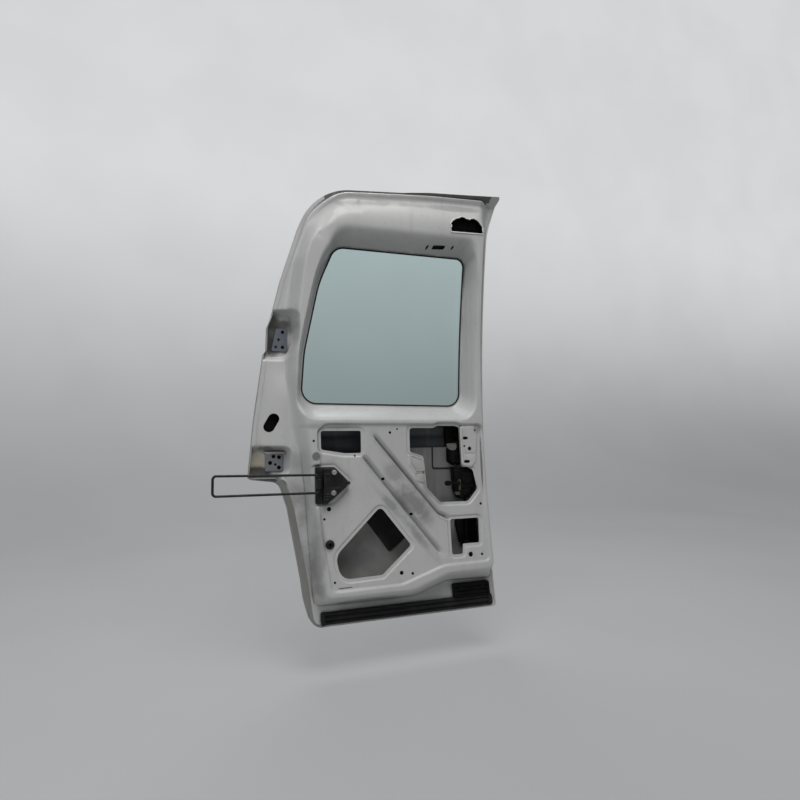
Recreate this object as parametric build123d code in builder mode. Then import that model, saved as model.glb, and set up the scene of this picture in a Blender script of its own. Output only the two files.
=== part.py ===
"""Campervan rear barn door, stripped of its trim, as separate named pieces.

Millimetres. The origin is on the lower hinge pad's face. X runs from the hinge
edge to the lock edge, Z is up, and the inside of the door faces -Y.
"""

import math
import os

from build123d import *

# Sheet metal and the door's bow: every layer is an arc about one axis along X.
SHEET = 1.5
BOW_R = 2800.0
BOW_Z = 157.0
FLANGE_Y = -6.0

# Layers, measured from the flange face towards the inside of the van.
H_SKIN = -30.0
H_LIP = -20.0
H_GLASS = -25.0
GLASS = 4.0
H_FACE = 46.0
H_FIELD = 41.0
H_GROOVE = 35.0
H_BORDER = 38.5

# Curled top edge of the skin.
CURL_Z = 640.0
CURL_R = 125.0
CURL_SWEEP = 56.0

# Outline of the whole door, (x, z, corner radius).
LOCK_X = 591.0
LOCK_LEAN = 4.0
LOCK_TOP_Z = 640.0
SILL_Z = -404.0
SEAM_Z = 92.0
DOOR = [
    (-66, -46, 3),
    (16, -46, 34),
    (40, -118, 120),
    (70, -290, 300),
    (84, SILL_Z, 28),
    (LOCK_X - LOCK_LEAN, SILL_Z, 6),
    (LOCK_X, LOCK_TOP_Z, 200),
    (LOCK_X + 25, 732, 6),
    (400, 721, 900),
    (79, 691, 150),
    (8, 455, 320),
    (-13, 362, 40),
    (-23, 336, 12),
    (-24, 277, 3),
    (-31, 268, 2),
    (-54, 90, 400),
]

# Raised pan of the inner panel: flange point, face point, corner radius.
PAN = [
    ((88, -355), (112, -312), 18),
    ((350, -356), (326, -313), 70),
    ((446, -327), (432, -279), 60),
    ((LOCK_X - 12, -331), (LOCK_X - 22, -277), 12),
    ((LOCK_X - 13, 180), (LOCK_X - 31, 180), 2000),
    ((LOCK_X - 13, 696), (LOCK_X - 33, 668), 12),
    ((150, 678), (162, 648), 60),
    ((68, 606), (86, 590), 90),
    ((36, 512), (66, 508), 160),
    ((22, 380), (48, 376), 200),
    ((16, 200), (41, 196), 120),
    ((45, 110), (66, 106), 120),
    ((70, -50), (90, -50), 160),
]

# Window: corner on the pan's face, corner on the glass lip, corner radius.
WINDOW = [
    ((52, 138), (66, 152), 40),
    ((531, 138), (523, 150), 38),
    ((535, 608), (532, 566), 24),
    ((142, 588), (150, 560), 40),
    ((98, 460), (110, 462), 300),
    ((62, 276), (74, 278), 400),
]
LIP = 4.0
LIP_RING = 24.0
SEAL_SHOW = 3.0
GLASS_LAP = 14.0
GLASS_GAP = 3.0

# Shallow recess over the lower panel, and the pad for the check bracket.
FIELD = [
    (108, 89, 16),
    (104, -8, 12),
    (100, -112, 10),
    (108, -200, 60),
    (126, -303, 14),
    (306, -300, 60),
    (424, -262, 60),
    (558, -262, 10),
    (558, 89, 14),
]
BRACKET_SEAT = [(84, -14, 6), (140, -14, 10), (187, -58, 10), (140, -106, 10), (84, -116, 6)]

# Openings cut through the lower panel, (x, z, radius).
TRIM_SLOT = [(106, 72, 6), (107, 25, 6), (168, 15, 20), (211, 15, 5), (211, 72, 5)]
LOCK_HOLE = [
    (346, 80, 8),
    (346, 16, 6),
    (384, 3, 8),
    (391, -80, 10),
    (428, -119, 5),
    (508, -119, 14),
    (540, -86, 10),
    (532, -28, 9),
    (490, -28, 8),
    (490, 82, 8),
]
DIAMOND = [
    (259, -122, 12),
    (138, -236, 32),
    (150, -292, 30),
    (256, -289, 10),
    (338, -223, 8),
]
CORNER_HOLE = [
    (453, -165, 5),
    (538, -165, 5),
    (535, -230, 4),
    (486, -230, 4),
    (483, -256, 5),
    (452, -256, 5),
]
BORDER = 9.0
TORN_HOLE = [
    (449, 612, 2),
    (549, 616, 2),
    (550, 648, 3),
    (538, 653, 3),
    (528, 646, 2),
    (516, 656, 3),
    (500, 650, 2),
    (486, 657, 3),
    (470, 648, 2),
    (460, 652, 2),
    (450, 646, 2),
]

# Two pressed grooves across the lower panel: ends and width.
GROOVES = [((255, 55), (436, -158), 15.0), ((237, -12), (430, -250), 20.0)]

# Plain holes in the lower panel and header, (x, z, radius).
FIELD_HOLES = [
    (87, 47, 3.0),
    (194, 3, 2.5),
    (290, 67, 3.5),
    (310, 76, 2.5),
    (269, -53, 4.0),
    (343, -146, 4.0),
    (124, -136, 5.0),
    (112, -160, 3.0),
    (133, -296, 3.0),
    (320, -288, 4.0),
    (505, -246, 5.0),
    (540, -246, 4.0),
    (547, -128, 3.5),
]
HEADER_HOLES = [(413, 584, 3.2), (486, 588, 3.2)]
HEADER_SLOT = (446, 586, 34.0, 7.0)

# Hinge pads, their pockets in the flange and the hole between them.
PAD = 4.0
LOWER_PAD = [(-23, -23, 4), (23, -23, 4), (23, 23, 4), (-23, 23, 4)]
UPPER_PAD = [(-11, 276, 4), (28, 276, 4), (28, 335, 4), (0, 335, 4)]
LOWER_POCKET = [(-120, -120, 2), (28, -120, 2), (28, 34, 12), (-120, 34, 2)]
UPPER_POCKET = [(-120, 262, 2), (20, 262, 20), (38, 300, 24), (38, 372, 14), (-120, 352, 2)]
POCKET_DRAFT = 6.0
PAD_BOLT_R = 4.5
LOWER_BOLTS = [(10, 7), (10, -19), (-12, -7)]
LOWER_PINS = [(-4, 9, 3.0), (1, -11, 2.0)]
UPPER_BOLTS = [(17, 326), (17, 287)]
UPPER_PINS = [(7, 306, 3.5), (0, 287, 3.5)]
PAD_HOLE_ROOM = 1.0
HINGE_SLOT = (-11.5, 93, 50.0, 27.0, 62.0)

# Door check: wire loop turning in a bracket.
WIRE_R = 3.0
PIVOT_X = 97.0
PIVOT_RISE = 17.6
LOOP_END_X = -151.0
LOOP_TOP = (-32.0, -36.5)
LOOP_LOW = (-78.5, -80.0)
LOOP_CORNER = 8.0
RUNNING = 0.05
BRACKET = [(89, -18, 5), (140, -18, 8), (180, -58, 6), (138, -101, 8), (89, -108, 5)]
BRACKET_STEP_X = 107.0
BRACKET_MID_Z = -58.0
BRACKET_LOW = 8.6
BRACKET_HIGH = 25.6
BARREL_WALL = 4.0
BRACKET_BOLTS = [(138, -31), (137, -86)]
BRACKET_RIBS = [((114, -94), (130, -94)), ((114, -100), (126, -100)), ((128, -73), (158, -73))]
BRACKET_RIB = 3.0
BRACKET_NIB = [(166, -66, 2), (186, -65, 3), (186, -53, 3), (166, -52, 2)]
BRACKET_NIB_T = 6.0
BOLT_R = 5.0
BOLT_HEAD = 4.0
WASHER_R = 7.0
WASHER_T = 1.5

# Lock, latch and outside handle.
LOCK_PLATE = [(492, -27, 4), (552, -27, 4), (552, 80, 5), (492, 80, 4)]
LOCK_PLATE_T = 2.5
LATCH_X = (462.0, 553.0)
LATCH_Z = (-112.0, -33.0)
LATCH_Y = (-42.0, -18.0)
LATCH_EAR_X = 542.0
LEVER_PIVOT = (486.0, -70.0)
LEVER_TIP = (441.0, -66.0)
LEVER_Y = -47.0
LEVER_T = 3.0
LEVER_W = 11.0
LEVER_PIN_R = 4.0
CUP_X = (424.0, 488.0)
CUP_Z = (-34.0, 26.0)
CUP_WALL = 2.5
CUP_DEPTH = 32.0
CUP_LIP = 8.0
GRIP_Z = (0.0, 16.0)
LOCK_BARREL = (456.0, -56.0, 9.0)
LOCK_BARREL_FLANGE = 2.0
LOCK_BARREL_LONG = 24.0

# Rubber on the flange: sill strip, bolt guide and the lock edge's strip in two lengths.
STRIP_T = 8.0
STRIP_GROOVES = [9.0, 19.0]
GUIDE_T = 12.0
GUIDE_GROOVES = [9.0, 17.0, 25.0]
RUBBER_GROOVE = 3.0
EDGE_SEAL_X = (5.0, 1.0)
EDGE_SEAL_Z = [(-318.0, 588.0), (596.0, 640.0)]
EDGE_SEAL_T = 3.0

# Reach of the cutting shapes.
X_LOW, X_HIGH = -260.0, 760.0
Y_BACK, Y_FRONT = 120.0, -260.0
Z_LOW, Z_HIGH = -500.0, 800.0
CONE_BACK, CONE_FRONT = 25.0, -115.0
PUNCH_BACK = 30.0
SKIN_CUT_Y = -20.0
ABOVE = 60.0


def bow_y(h, z):
    """Y of the layer h at height z."""
    return FLANGE_Y - BOW_R + math.sqrt((BOW_R - h) ** 2 - (z - BOW_Z) ** 2)


def lock_edge(z):
    """X of the leaning lock edge at height z."""
    return LOCK_X - LOCK_LEAN * (LOCK_TOP_Z - z) / (LOCK_TOP_Z - SILL_Z)


def rounded(corners, grow=0.0):
    """Face with straight sides and rounded corners, moved outwards by grow."""
    count = len(corners)
    points = [Vector(c[0], c[1]) for c in corners]
    area = sum(points[i - 1].X * points[i].Y - points[i].X * points[i - 1].Y for i in range(count))
    arcs = []
    for i in range(count):
        back = (points[i - 1] - points[i]).normalized()
        ahead = (points[(i + 1) % count] - points[i]).normalized()
        half = math.radians(back.get_angle(ahead)) / 2
        middle = (back + ahead).normalized()
        turn = back.Y * ahead.X - back.X * ahead.Y
        outward = -1 if turn * area > 0 else 1
        corner = points[i] + middle * (outward * grow / math.sin(half))
        radius = max(corners[i][2] - outward * grow, 0.5)
        reach = radius / math.tan(half)
        centre = corner + middle * (radius / math.sin(half))
        arcs.append((corner + back * reach, centre - middle * radius, corner + ahead * reach))
    edges = []
    for i in range(count):
        if (arcs[i][0] - arcs[i - 1][2]).length > 1e-4:
            edges.append(Edge.make_line(arcs[i - 1][2], arcs[i][0]))
        edges.append(Edge.make_three_point_arc(*arcs[i]))
    return Face(Wire(edges))


def disc(x, z, r):
    """Round face."""
    return Face(Wire([Edge.make_circle(r, Plane((x, z, 0)))]))


def column(outline, y_back=Y_BACK, y_front=Y_FRONT):
    """Straight prism along Y over an outline, or several, in X and Z."""
    with BuildPart() as prism:
        with BuildSketch(Plane.XZ.offset(-y_back)):
            add(outline)
        extrude(amount=y_back - y_front)
    return prism.part


def layer(h_back, h_front):
    """Bowed slab between two layers."""
    with BuildPart() as slab:
        with BuildSketch(Plane.YZ.offset(X_LOW)):
            with BuildLine():
                back = [(bow_y(h_back, z), z) for z in (Z_LOW, BOW_Z, Z_HIGH)]
                front = [(bow_y(h_front, z), z) for z in (Z_LOW, BOW_Z, Z_HIGH)]
                ThreePointArc(*back)
                Line(back[2], front[2])
                ThreePointArc(*front)
                Line(front[0], back[0])
            make_face()
        extrude(amount=X_HIGH - X_LOW)
    return slab.part


def plate(outline, h_back, h_front):
    """Part of a bowed slab under an outline."""
    with BuildPart() as cut:
        add(column(outline))
        add(layer(h_back, h_front), mode=Mode.INTERSECT)
    return cut.part


def reached(near, near_h, far, far_h, y):
    """Where the line through a point on each of two layers meets the plane Y = y."""
    y_near, y_far = bow_y(near_h, near[1]), bow_y(far_h, far[1])
    share = (y - y_near) / (y_far - y_near)
    return (near[0] + share * (far[0] - near[0]), near[1] + share * (far[1] - near[1]))


def funnel(corners, near_h, far_h, grow, y_back, y_front):
    """Drafted prism whose corners pass through points on two layers."""
    with BuildPart() as drafted:
        for y in (y_back, y_front):
            ends = [(*reached(near, near_h, far, far_h, y), r) for near, far, r in corners]
            with BuildSketch(Plane.XZ.offset(-y)):
                add(rounded(ends, grow))
        loft(ruled=True)
    return drafted.part


def bar(start, end, width):
    """Obround face from one point to another."""
    start, end = Vector(start), Vector(end)
    run = end - start
    angle = math.degrees(math.atan2(run.Y, run.X))
    with BuildSketch() as slot:
        with Locations(Location((start + end) * 0.5, (0, 0, angle))):
            SlotCenterToCenter(run.length, width)
    return slot.sketch


def skin_curve(inset):
    """Points of the skin's outer line and its curled top, moved inside by inset."""
    big, small = BOW_R - H_SKIN - inset, CURL_R - inset
    start = math.asin((CURL_Z - BOW_Z) / (BOW_R - H_SKIN))
    low = math.asin((Z_LOW - BOW_Z) / big)
    centre = Vector(FLANGE_Y - BOW_R, BOW_Z)
    curl = centre + Vector(math.cos(start), math.sin(start)) * (BOW_R - H_SKIN - CURL_R)
    main = [centre + Vector(math.cos(a), math.sin(a)) * big for a in (low, (low + start) / 2, start)]
    sweep = math.radians(CURL_SWEEP)
    top = [
        curl + Vector(math.cos(a), math.sin(a)) * small
        for a in (start, start + sweep / 2, start + sweep)
    ]
    return main, top


def inside_of_skin():
    """Everything on the van's side of the skin sheet."""
    with BuildPart() as room:
        with BuildSketch(Plane.YZ.offset(X_LOW)):
            with BuildLine():
                main, top = skin_curve(SHEET)
                ThreePointArc(*main)
                ThreePointArc(*top)
                Polyline(top[2], (Y_FRONT, top[2].Y), (Y_FRONT, main[0].Y), main[0])
            make_face()
        extrude(amount=X_HIGH - X_LOW)
    return room.part


door_face = rounded(DOOR)
door_inner = rounded(DOOR, -SHEET)
lip_corners = [(*lip, r) for _, lip, r in WINDOW]
interior = inside_of_skin()
pieces = {}

# Outer skin: bowed sheet with a curled top, turned edges and a window rim.
with BuildPart() as outer_skin:
    with BuildSketch(Plane.YZ.offset(X_LOW)):
        with BuildLine():
            main_out, top_out = skin_curve(0.0)
            main_in, top_in = skin_curve(SHEET)
            ThreePointArc(*main_out)
            ThreePointArc(*top_out)
            Line(top_out[2], top_in[2])
            ThreePointArc(*top_in)
            ThreePointArc(*main_in)
            Line(main_in[0], main_out[0])
        make_face()
    extrude(amount=X_HIGH - X_LOW)
    add(column(door_face), mode=Mode.INTERSECT)
    with BuildSketch(Plane.XZ.offset(-Y_BACK)):
        add(rounded(lip_corners, GLASS_LAP + GLASS_GAP))
    extrude(amount=Y_BACK - Y_FRONT, mode=Mode.SUBTRACT)
with BuildPart() as edge_wall:
    add(plate(door_face, H_SKIN, -SHEET))
    add(column(door_inner), mode=Mode.SUBTRACT)
    add(interior, mode=Mode.INTERSECT)
with BuildPart() as window_rim:
    add(plate(rounded(lip_corners, GLASS_LAP + GLASS_GAP + SHEET), H_SKIN, H_LIP))
    add(column(rounded(lip_corners, GLASS_LAP + GLASS_GAP)), mode=Mode.SUBTRACT)
cup_mid = ((CUP_X[0] + CUP_X[1]) / 2, (CUP_Z[0] + CUP_Z[1]) / 2)
cup_face = rounded(
    [(CUP_X[0], CUP_Z[0], 8), (CUP_X[1], CUP_Z[0], 8), (CUP_X[1], CUP_Z[1], 8), (CUP_X[0], CUP_Z[1], 8)]
)
with BuildPart() as outer_skin_done:
    add(outer_skin.part)
    add(edge_wall.part)
    add(window_rim.part)
    add(column([cup_face, disc(*LOCK_BARREL)], Y_BACK, SKIN_CUT_Y), mode=Mode.SUBTRACT)
pieces["outer_skin"] = outer_skin_done.part

# Inner panel: solid pan with its recesses, less the same shape one sheet inside.
holes = [TRIM_SLOT, LOCK_HOLE, DIAMOND, CORNER_HOLE]
reveal_cone = funnel(WINDOW, H_FACE, H_LIP, LIP + SHEET, CONE_BACK, CONE_FRONT)


def recesses(grow):
    """Air above the field, grooves and borders, deepened and widened by grow."""
    field_faces = [rounded(FIELD, grow), rounded(BRACKET_SEAT, grow)]
    groove_faces = [bar(start, end, width + 2 * grow) for start, end, width in GROOVES]
    border_faces = [rounded(hole, BORDER + grow) for hole in holes]
    return [
        plate(field_faces, H_FIELD - grow, H_FACE + ABOVE),
        plate(groove_faces, H_GROOVE - grow, H_FACE + ABOVE),
        plate(border_faces, H_BORDER - grow, H_FACE + ABOVE),
    ]


with BuildPart() as pan_out:
    add(funnel(PAN, 0.0, H_FACE, 0.0, CONE_BACK, CONE_FRONT))
    add(layer(-SHEET, H_FACE), mode=Mode.INTERSECT)
    add(recesses(0.0), mode=Mode.SUBTRACT)
with BuildPart() as pan_in:
    add(funnel(PAN, 0.0, H_FACE, -SHEET, CONE_BACK, CONE_FRONT))
    add(layer(-SHEET - 1, H_FACE - SHEET), mode=Mode.INTERSECT)
    add(recesses(SHEET), mode=Mode.SUBTRACT)
    add(reveal_cone, mode=Mode.SUBTRACT)
with BuildPart() as flange:
    add(plate(door_face, -SHEET, 0.0))
with BuildPart() as reveal:
    add(reveal_cone)
    add(layer(H_LIP, H_FACE), mode=Mode.INTERSECT)
    add(plate(rounded(lip_corners, LIP_RING), H_LIP, H_LIP + SHEET))
with BuildPart() as reveal_air:
    add(funnel(WINDOW, H_FACE, H_LIP, LIP, CONE_BACK, CONE_FRONT))
    add(layer(H_LIP + SHEET, H_FACE + ABOVE), mode=Mode.INTERSECT)


def pocket(outline, grow, floor):
    """Drafted hinge pocket sunk into the flange down to a flat floor."""
    with BuildPart() as sunk:
        with BuildSketch(Plane.XZ.offset(-floor)):
            add(rounded(outline, grow))
        with BuildSketch(Plane.XZ.offset(-floor + 40.0)):
            add(rounded(outline, grow + POCKET_DRAFT))
        loft(ruled=True)
    return sunk.part


with BuildPart() as pocket_metal:
    add(pocket(LOWER_POCKET, SHEET, PAD + SHEET))
    add(pocket(UPPER_POCKET, SHEET, PAD + SHEET))
    add(layer(-60.0, 0.0), mode=Mode.INTERSECT)
    add(column(door_inner), mode=Mode.INTERSECT)
with BuildPart() as pocket_air:
    add(pocket(LOWER_POCKET, 0.0, PAD))
    add(pocket(UPPER_POCKET, 0.0, PAD))
x, z, length, width = HEADER_SLOT
header_slot = bar((x - length / 2, z), (x + length / 2, z + 1), width)
x, z, length, width, angle = HINGE_SLOT
half_slot = Vector(math.cos(math.radians(angle)), math.sin(math.radians(angle))) * ((length - width) / 2)
hinge_slot = bar(Vector(x, z) - half_slot, Vector(x, z) + half_slot, width)
punched = [rounded(corners) for corners in [*holes, TORN_HOLE, lip_corners]] + [header_slot, hinge_slot]
punched += [disc(*hole) for hole in FIELD_HOLES + HEADER_HOLES]
punched += [disc(x, z, PAD_BOLT_R + PAD_HOLE_ROOM) for x, z in LOWER_BOLTS + UPPER_BOLTS]
punched += [disc(x, z, r + PAD_HOLE_ROOM) for x, z, r in LOWER_PINS + UPPER_PINS]
with BuildPart() as panel:
    add(flange.part)
    add(pan_out.part)
    add(pan_in.part, mode=Mode.SUBTRACT)
    add(reveal.part)
    add(reveal_air.part, mode=Mode.SUBTRACT)
    add(pocket_metal.part)
    add(pocket_air.part, mode=Mode.SUBTRACT)
    add(interior, mode=Mode.INTERSECT)
    add(column(punched, PUNCH_BACK), mode=Mode.SUBTRACT)
with BuildPart() as window_frame:
    add(panel.part)
    with Locations((0, 0, SEAM_Z)):
        Box(2000, 1000, 1000, align=(Align.CENTER, Align.CENTER, Align.MIN), mode=Mode.INTERSECT)
with BuildPart() as inner_panel:
    add(panel.part)
    with Locations((0, 0, SEAM_Z)):
        Box(2000, 1000, 1000, align=(Align.CENTER, Align.CENTER, Align.MAX), mode=Mode.INTERSECT)
pieces["window_frame"] = window_frame.part
pieces["inner_panel"] = inner_panel.part

# Hinge pads, tapped plates in the pockets.
with BuildPart() as lower_hinge_pad:
    add(column(rounded(LOWER_PAD), PAD, 0.0))
    for x, z in LOWER_BOLTS:
        add(column(disc(x, z, PAD_BOLT_R)), mode=Mode.SUBTRACT)
    for x, z, r in LOWER_PINS:
        add(column(disc(x, z, r)), mode=Mode.SUBTRACT)
with BuildPart() as upper_hinge_pad:
    add(column(rounded(UPPER_PAD), PAD, 0.0))
    for x, z in UPPER_BOLTS:
        add(column(disc(x, z, PAD_BOLT_R)), mode=Mode.SUBTRACT)
    for x, z, r in UPPER_PINS:
        add(column(disc(x, z, r)), mode=Mode.SUBTRACT)
pieces["lower_hinge_pad"] = lower_hinge_pad.part
pieces["upper_hinge_pad"] = upper_hinge_pad.part

# Window glass and its bonded seal.
with BuildPart() as window_glass:
    add(plate(rounded(lip_corners, GLASS_LAP), H_GLASS - GLASS, H_GLASS))
with BuildPart() as window_seal:
    add(plate(rounded(lip_corners, GLASS_LAP - 1), H_GLASS, H_LIP))
    add(column(rounded(lip_corners, -SEAL_SHOW)), mode=Mode.SUBTRACT)
pieces["window_glass"] = window_glass.part
pieces["window_seal"] = window_seal.part

# Door check bracket with a barrel for the loop's pivot leg.
barrel_z = (LOOP_LOW[1] + LOOP_CORNER + 2, LOOP_TOP[1] - LOOP_CORNER - 2)
seat_y = bow_y(H_FIELD, BRACKET_MID_Z)
low_y, top_y, pivot_y = seat_y - BRACKET_LOW, seat_y - BRACKET_HIGH, seat_y - PIVOT_RISE
barrel_r = WIRE_R + BARREL_WALL
with BuildPart() as check_bracket:
    add(plate(rounded(BRACKET), H_FIELD, H_FIELD + ABOVE))
    with BuildSketch(Plane.XZ.offset(-low_y)):
        with Locations((BRACKET_STEP_X, 0)):
            Rectangle(X_HIGH, X_HIGH, align=(Align.MAX, Align.CENTER))
    extrude(amount=ABOVE, mode=Mode.SUBTRACT)
    with BuildSketch(Plane.XZ.offset(-top_y)):
        Rectangle(2 * X_HIGH, X_HIGH)
    extrude(amount=ABOVE, mode=Mode.SUBTRACT)
    for start, end in BRACKET_RIBS:
        add(column(bar(start, end, BRACKET_RIB), top_y + BRACKET_RIB, top_y - BRACKET_RIB))
    add(plate(rounded(BRACKET_NIB), H_FIELD, H_FIELD + BRACKET_NIB_T))
    with BuildSketch(Plane.XY.offset(barrel_z[0])):
        with Locations((PIVOT_X, pivot_y)):
            Circle(barrel_r)
            Rectangle(2 * barrel_r, pivot_y - low_y - 1, align=(Align.CENTER, Align.MIN), mode=Mode.ADD)
    extrude(amount=barrel_z[1] - barrel_z[0])
    with BuildSketch(Plane.XY.offset(barrel_z[0])):
        with Locations((PIVOT_X, pivot_y)):
            Circle(WIRE_R + RUNNING)
    extrude(amount=barrel_z[1] - barrel_z[0], mode=Mode.SUBTRACT)
pieces["check_bracket"] = check_bracket.part

# Wire loop, one closed bend.
loop_plane = Plane.XZ.offset(-pivot_y)
loop_corners = [
    (LOOP_END_X, LOOP_TOP[0], LOOP_CORNER),
    (PIVOT_X, LOOP_TOP[1], LOOP_CORNER),
    (PIVOT_X, LOOP_LOW[1], LOOP_CORNER),
    (LOOP_END_X, LOOP_LOW[0], LOOP_CORNER),
]
loop_path = loop_plane * rounded(loop_corners).outer_wire()
with BuildPart() as check_loop:
    with BuildSketch(Plane(loop_path @ 0, z_dir=loop_path % 0)):
        Circle(WIRE_R)
    sweep(path=loop_path)
pieces["check_loop"] = check_loop.part

# Bracket bolts.
for name, (x, z) in zip(("check_bolt_upper", "check_bolt_lower"), BRACKET_BOLTS):
    with BuildPart() as bolt:
        with BuildSketch(Plane.XZ.offset(-top_y)):
            with Locations((x, z)):
                Circle(WASHER_R)
        extrude(amount=WASHER_T)
        with BuildSketch(Plane.XZ.offset(-top_y + WASHER_T)):
            with Locations((x, z)):
                RegularPolygon(BOLT_R, 6, major_radius=False)
        extrude(amount=BOLT_HEAD)
    pieces[name] = bolt.part

# Lock reinforcement plate with its slots and screw holes.
with BuildPart() as lock_plate:
    add(plate(rounded(LOCK_PLATE), H_FIELD, H_FIELD + LOCK_PLATE_T))
    add(column(bar((505, 51), (513, 51), 8.0)), mode=Mode.SUBTRACT)
    add(column(bar((506, -13), (516, -13), 8.0)), mode=Mode.SUBTRACT)
    add(column(disc(505, 29, 2.5)), mode=Mode.SUBTRACT)
    add(column(disc(520, 22, 5.0)), mode=Mode.SUBTRACT)
    add(column(disc(540, 70, 3.0)), mode=Mode.SUBTRACT)
pieces["lock_plate"] = lock_plate.part

# Latch case behind the lock opening, with an ear on the panel's back.
with BuildPart() as latch_case:
    latch_face = rounded(
        [(LATCH_X[0], LATCH_Z[0], 5), (LATCH_X[1], LATCH_Z[0], 5), (LATCH_X[1], LATCH_Z[1], 5), (LATCH_X[0], LATCH_Z[1], 5)]
    )
    ear_face = rounded(
        [(LATCH_EAR_X, LATCH_Z[0], 3), (LATCH_X[1], LATCH_Z[0], 5), (LATCH_X[1], LATCH_Z[1], 5), (LATCH_EAR_X, LATCH_Z[1], 3)]
    )
    add(column(ear_face, LATCH_Y[1], Y_FRONT))
    add(layer(-60.0, H_BORDER - SHEET), mode=Mode.INTERSECT)
    add(column(latch_face, LATCH_Y[1], LATCH_Y[0]))
    add(column(disc(*LEVER_PIVOT, LEVER_PIN_R + RUNNING), -30.0, Y_FRONT), mode=Mode.SUBTRACT)
pieces["latch_case"] = latch_case.part

# Release lever on its own pin.
with BuildPart() as latch_lever:
    add(column(bar(LEVER_TIP, LEVER_PIVOT, LEVER_W), LEVER_Y, LEVER_Y - LEVER_T))
    add(column(disc(*LEVER_PIVOT, LEVER_PIN_R + 3), LATCH_Y[0] - 0.1, LEVER_Y - LEVER_T - 1))
    add(column(disc(*LEVER_PIVOT, LEVER_PIN_R), -31.0, LEVER_Y))
pieces["latch_lever"] = latch_lever.part

# Outside handle: cup through the skin, grip bar and lock barrel.
cup_floor_y = bow_y(H_SKIN, cup_mid[1]) - CUP_DEPTH
with BuildPart() as handle_cup:
    add(column(cup_face, Y_BACK, cup_floor_y))
    add(layer(H_SKIN - 2.0, 60.0), mode=Mode.INTERSECT)
    cup_lip_face = rounded(
        [
            (CUP_X[0] - CUP_LIP, CUP_Z[0] - CUP_LIP, 14),
            (CUP_X[1] + CUP_LIP, CUP_Z[0] - CUP_LIP, 14),
            (CUP_X[1] + CUP_LIP, CUP_Z[1] + CUP_LIP, 14),
            (CUP_X[0] - CUP_LIP, CUP_Z[1] + CUP_LIP, 14),
        ]
    )
    add(plate(cup_lip_face, H_SKIN - 2.0, H_SKIN))
    cup_air = rounded(
        [
            (CUP_X[0] + CUP_WALL, CUP_Z[0] + CUP_WALL, 6),
            (CUP_X[1] - CUP_WALL, CUP_Z[0] + CUP_WALL, 6),
            (CUP_X[1] - CUP_WALL, CUP_Z[1] - CUP_WALL, 6),
            (CUP_X[0] + CUP_WALL, CUP_Z[1] - CUP_WALL, 6),
        ]
    )
    add(column(cup_air, Y_BACK, cup_floor_y + CUP_WALL), mode=Mode.SUBTRACT)
pieces["handle_cup"] = handle_cup.part
grip_y = bow_y(H_SKIN, cup_mid[1])
with BuildPart() as handle_grip:
    with BuildSketch(Plane.XZ.offset(-grip_y)):
        with Locations((cup_mid[0], (GRIP_Z[0] + GRIP_Z[1]) / 2)):
            Rectangle(CUP_X[1] - CUP_X[0] - 2 * CUP_WALL, GRIP_Z[1] - GRIP_Z[0])
    extrude(amount=8.0)
pieces["handle_grip"] = handle_grip.part
barrel_face_y = bow_y(H_SKIN, LOCK_BARREL[1])
with BuildPart() as lock_barrel:
    add(column(disc(*LOCK_BARREL), barrel_face_y, barrel_face_y - LOCK_BARREL_LONG))
    x, z, r = LOCK_BARREL
    add(plate(disc(x, z, r + LOCK_BARREL_FLANGE), H_SKIN - LOCK_BARREL_FLANGE, H_SKIN))
pieces["lock_barrel"] = lock_barrel.part

# Rubber and plastic pieces on the flange and panel.
with BuildPart() as bottom_strip:
    strip_low, strip_high, strip_end = SILL_Z + 4, SILL_Z + 33, LOCK_X - 19
    strip_face = rounded(
        [(107, strip_low, 5), (strip_end, strip_low, 4), (strip_end, strip_high, 4), (111, strip_high + 2, 6)]
    )
    add(plate(strip_face, 0.0, STRIP_T))
    for rise in STRIP_GROOVES:
        groove = bar((117, strip_low + rise), (strip_end - 10, strip_low + rise), RUBBER_GROOVE)
        add(plate(groove, STRIP_T - RUBBER_GROOVE, STRIP_T + RUBBER_GROOVE), mode=Mode.SUBTRACT)
pieces["bottom_strip"] = bottom_strip.part
with BuildPart() as bolt_guide:
    guide_low, guide_end = strip_high + 0.5, LOCK_X - 24
    guide_face = rounded([(461, guide_low, 4), (guide_end, guide_low, 4), (guide_end, -338, 6), (465, -336, 6)])
    add(plate(guide_face, 0.0, GUIDE_T))
    for rise in GUIDE_GROOVES:
        groove = bar((473, guide_low + rise), (guide_end - 10, guide_low + rise), RUBBER_GROOVE)
        add(plate(groove, GUIDE_T - RUBBER_GROOVE, GUIDE_T + RUBBER_GROOVE), mode=Mode.SUBTRACT)
pieces["bolt_guide"] = bolt_guide.part
with BuildPart() as lock_edge_seal:
    for low, high in EDGE_SEAL_Z:
        inner, outer = EDGE_SEAL_X
        seal_face = rounded(
            [
                (lock_edge(low) - inner, low, 1.5),
                (lock_edge(low) - outer, low, 1.5),
                (lock_edge(high) - outer, high, 1.5),
                (lock_edge(high) - inner, high, 1.5),
            ]
        )
        add(plate(seal_face, 0.0, EDGE_SEAL_T))
pieces["lock_edge_seal"] = lock_edge_seal.part
with BuildPart() as top_latch_box:
    box_face = rounded([(438, 602, 4), (556, 606, 4), (556, 660, 4), (438, 660, 4)])
    box_air = rounded([(446, 608, 4), (551, 611, 4), (551, 656, 4), (446, 656, 4)])
    add(plate(box_face, H_FACE - SHEET - 26, H_FACE - SHEET))
    add(plate(box_air, H_FACE - SHEET - 22, H_FACE), mode=Mode.SUBTRACT)
    add(reveal_cone, mode=Mode.SUBTRACT)
pieces["top_latch_box"] = top_latch_box.part
with BuildPart() as damping_pad:
    pad_face = rounded([(300, -249, 6), (356, -207, 6), (288, -114, 6), (232, -156, 6)])
    add(plate(pad_face, H_SKIN + SHEET, H_SKIN + SHEET + 3.0))
pieces["damping_pad"] = damping_pad.part
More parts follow.
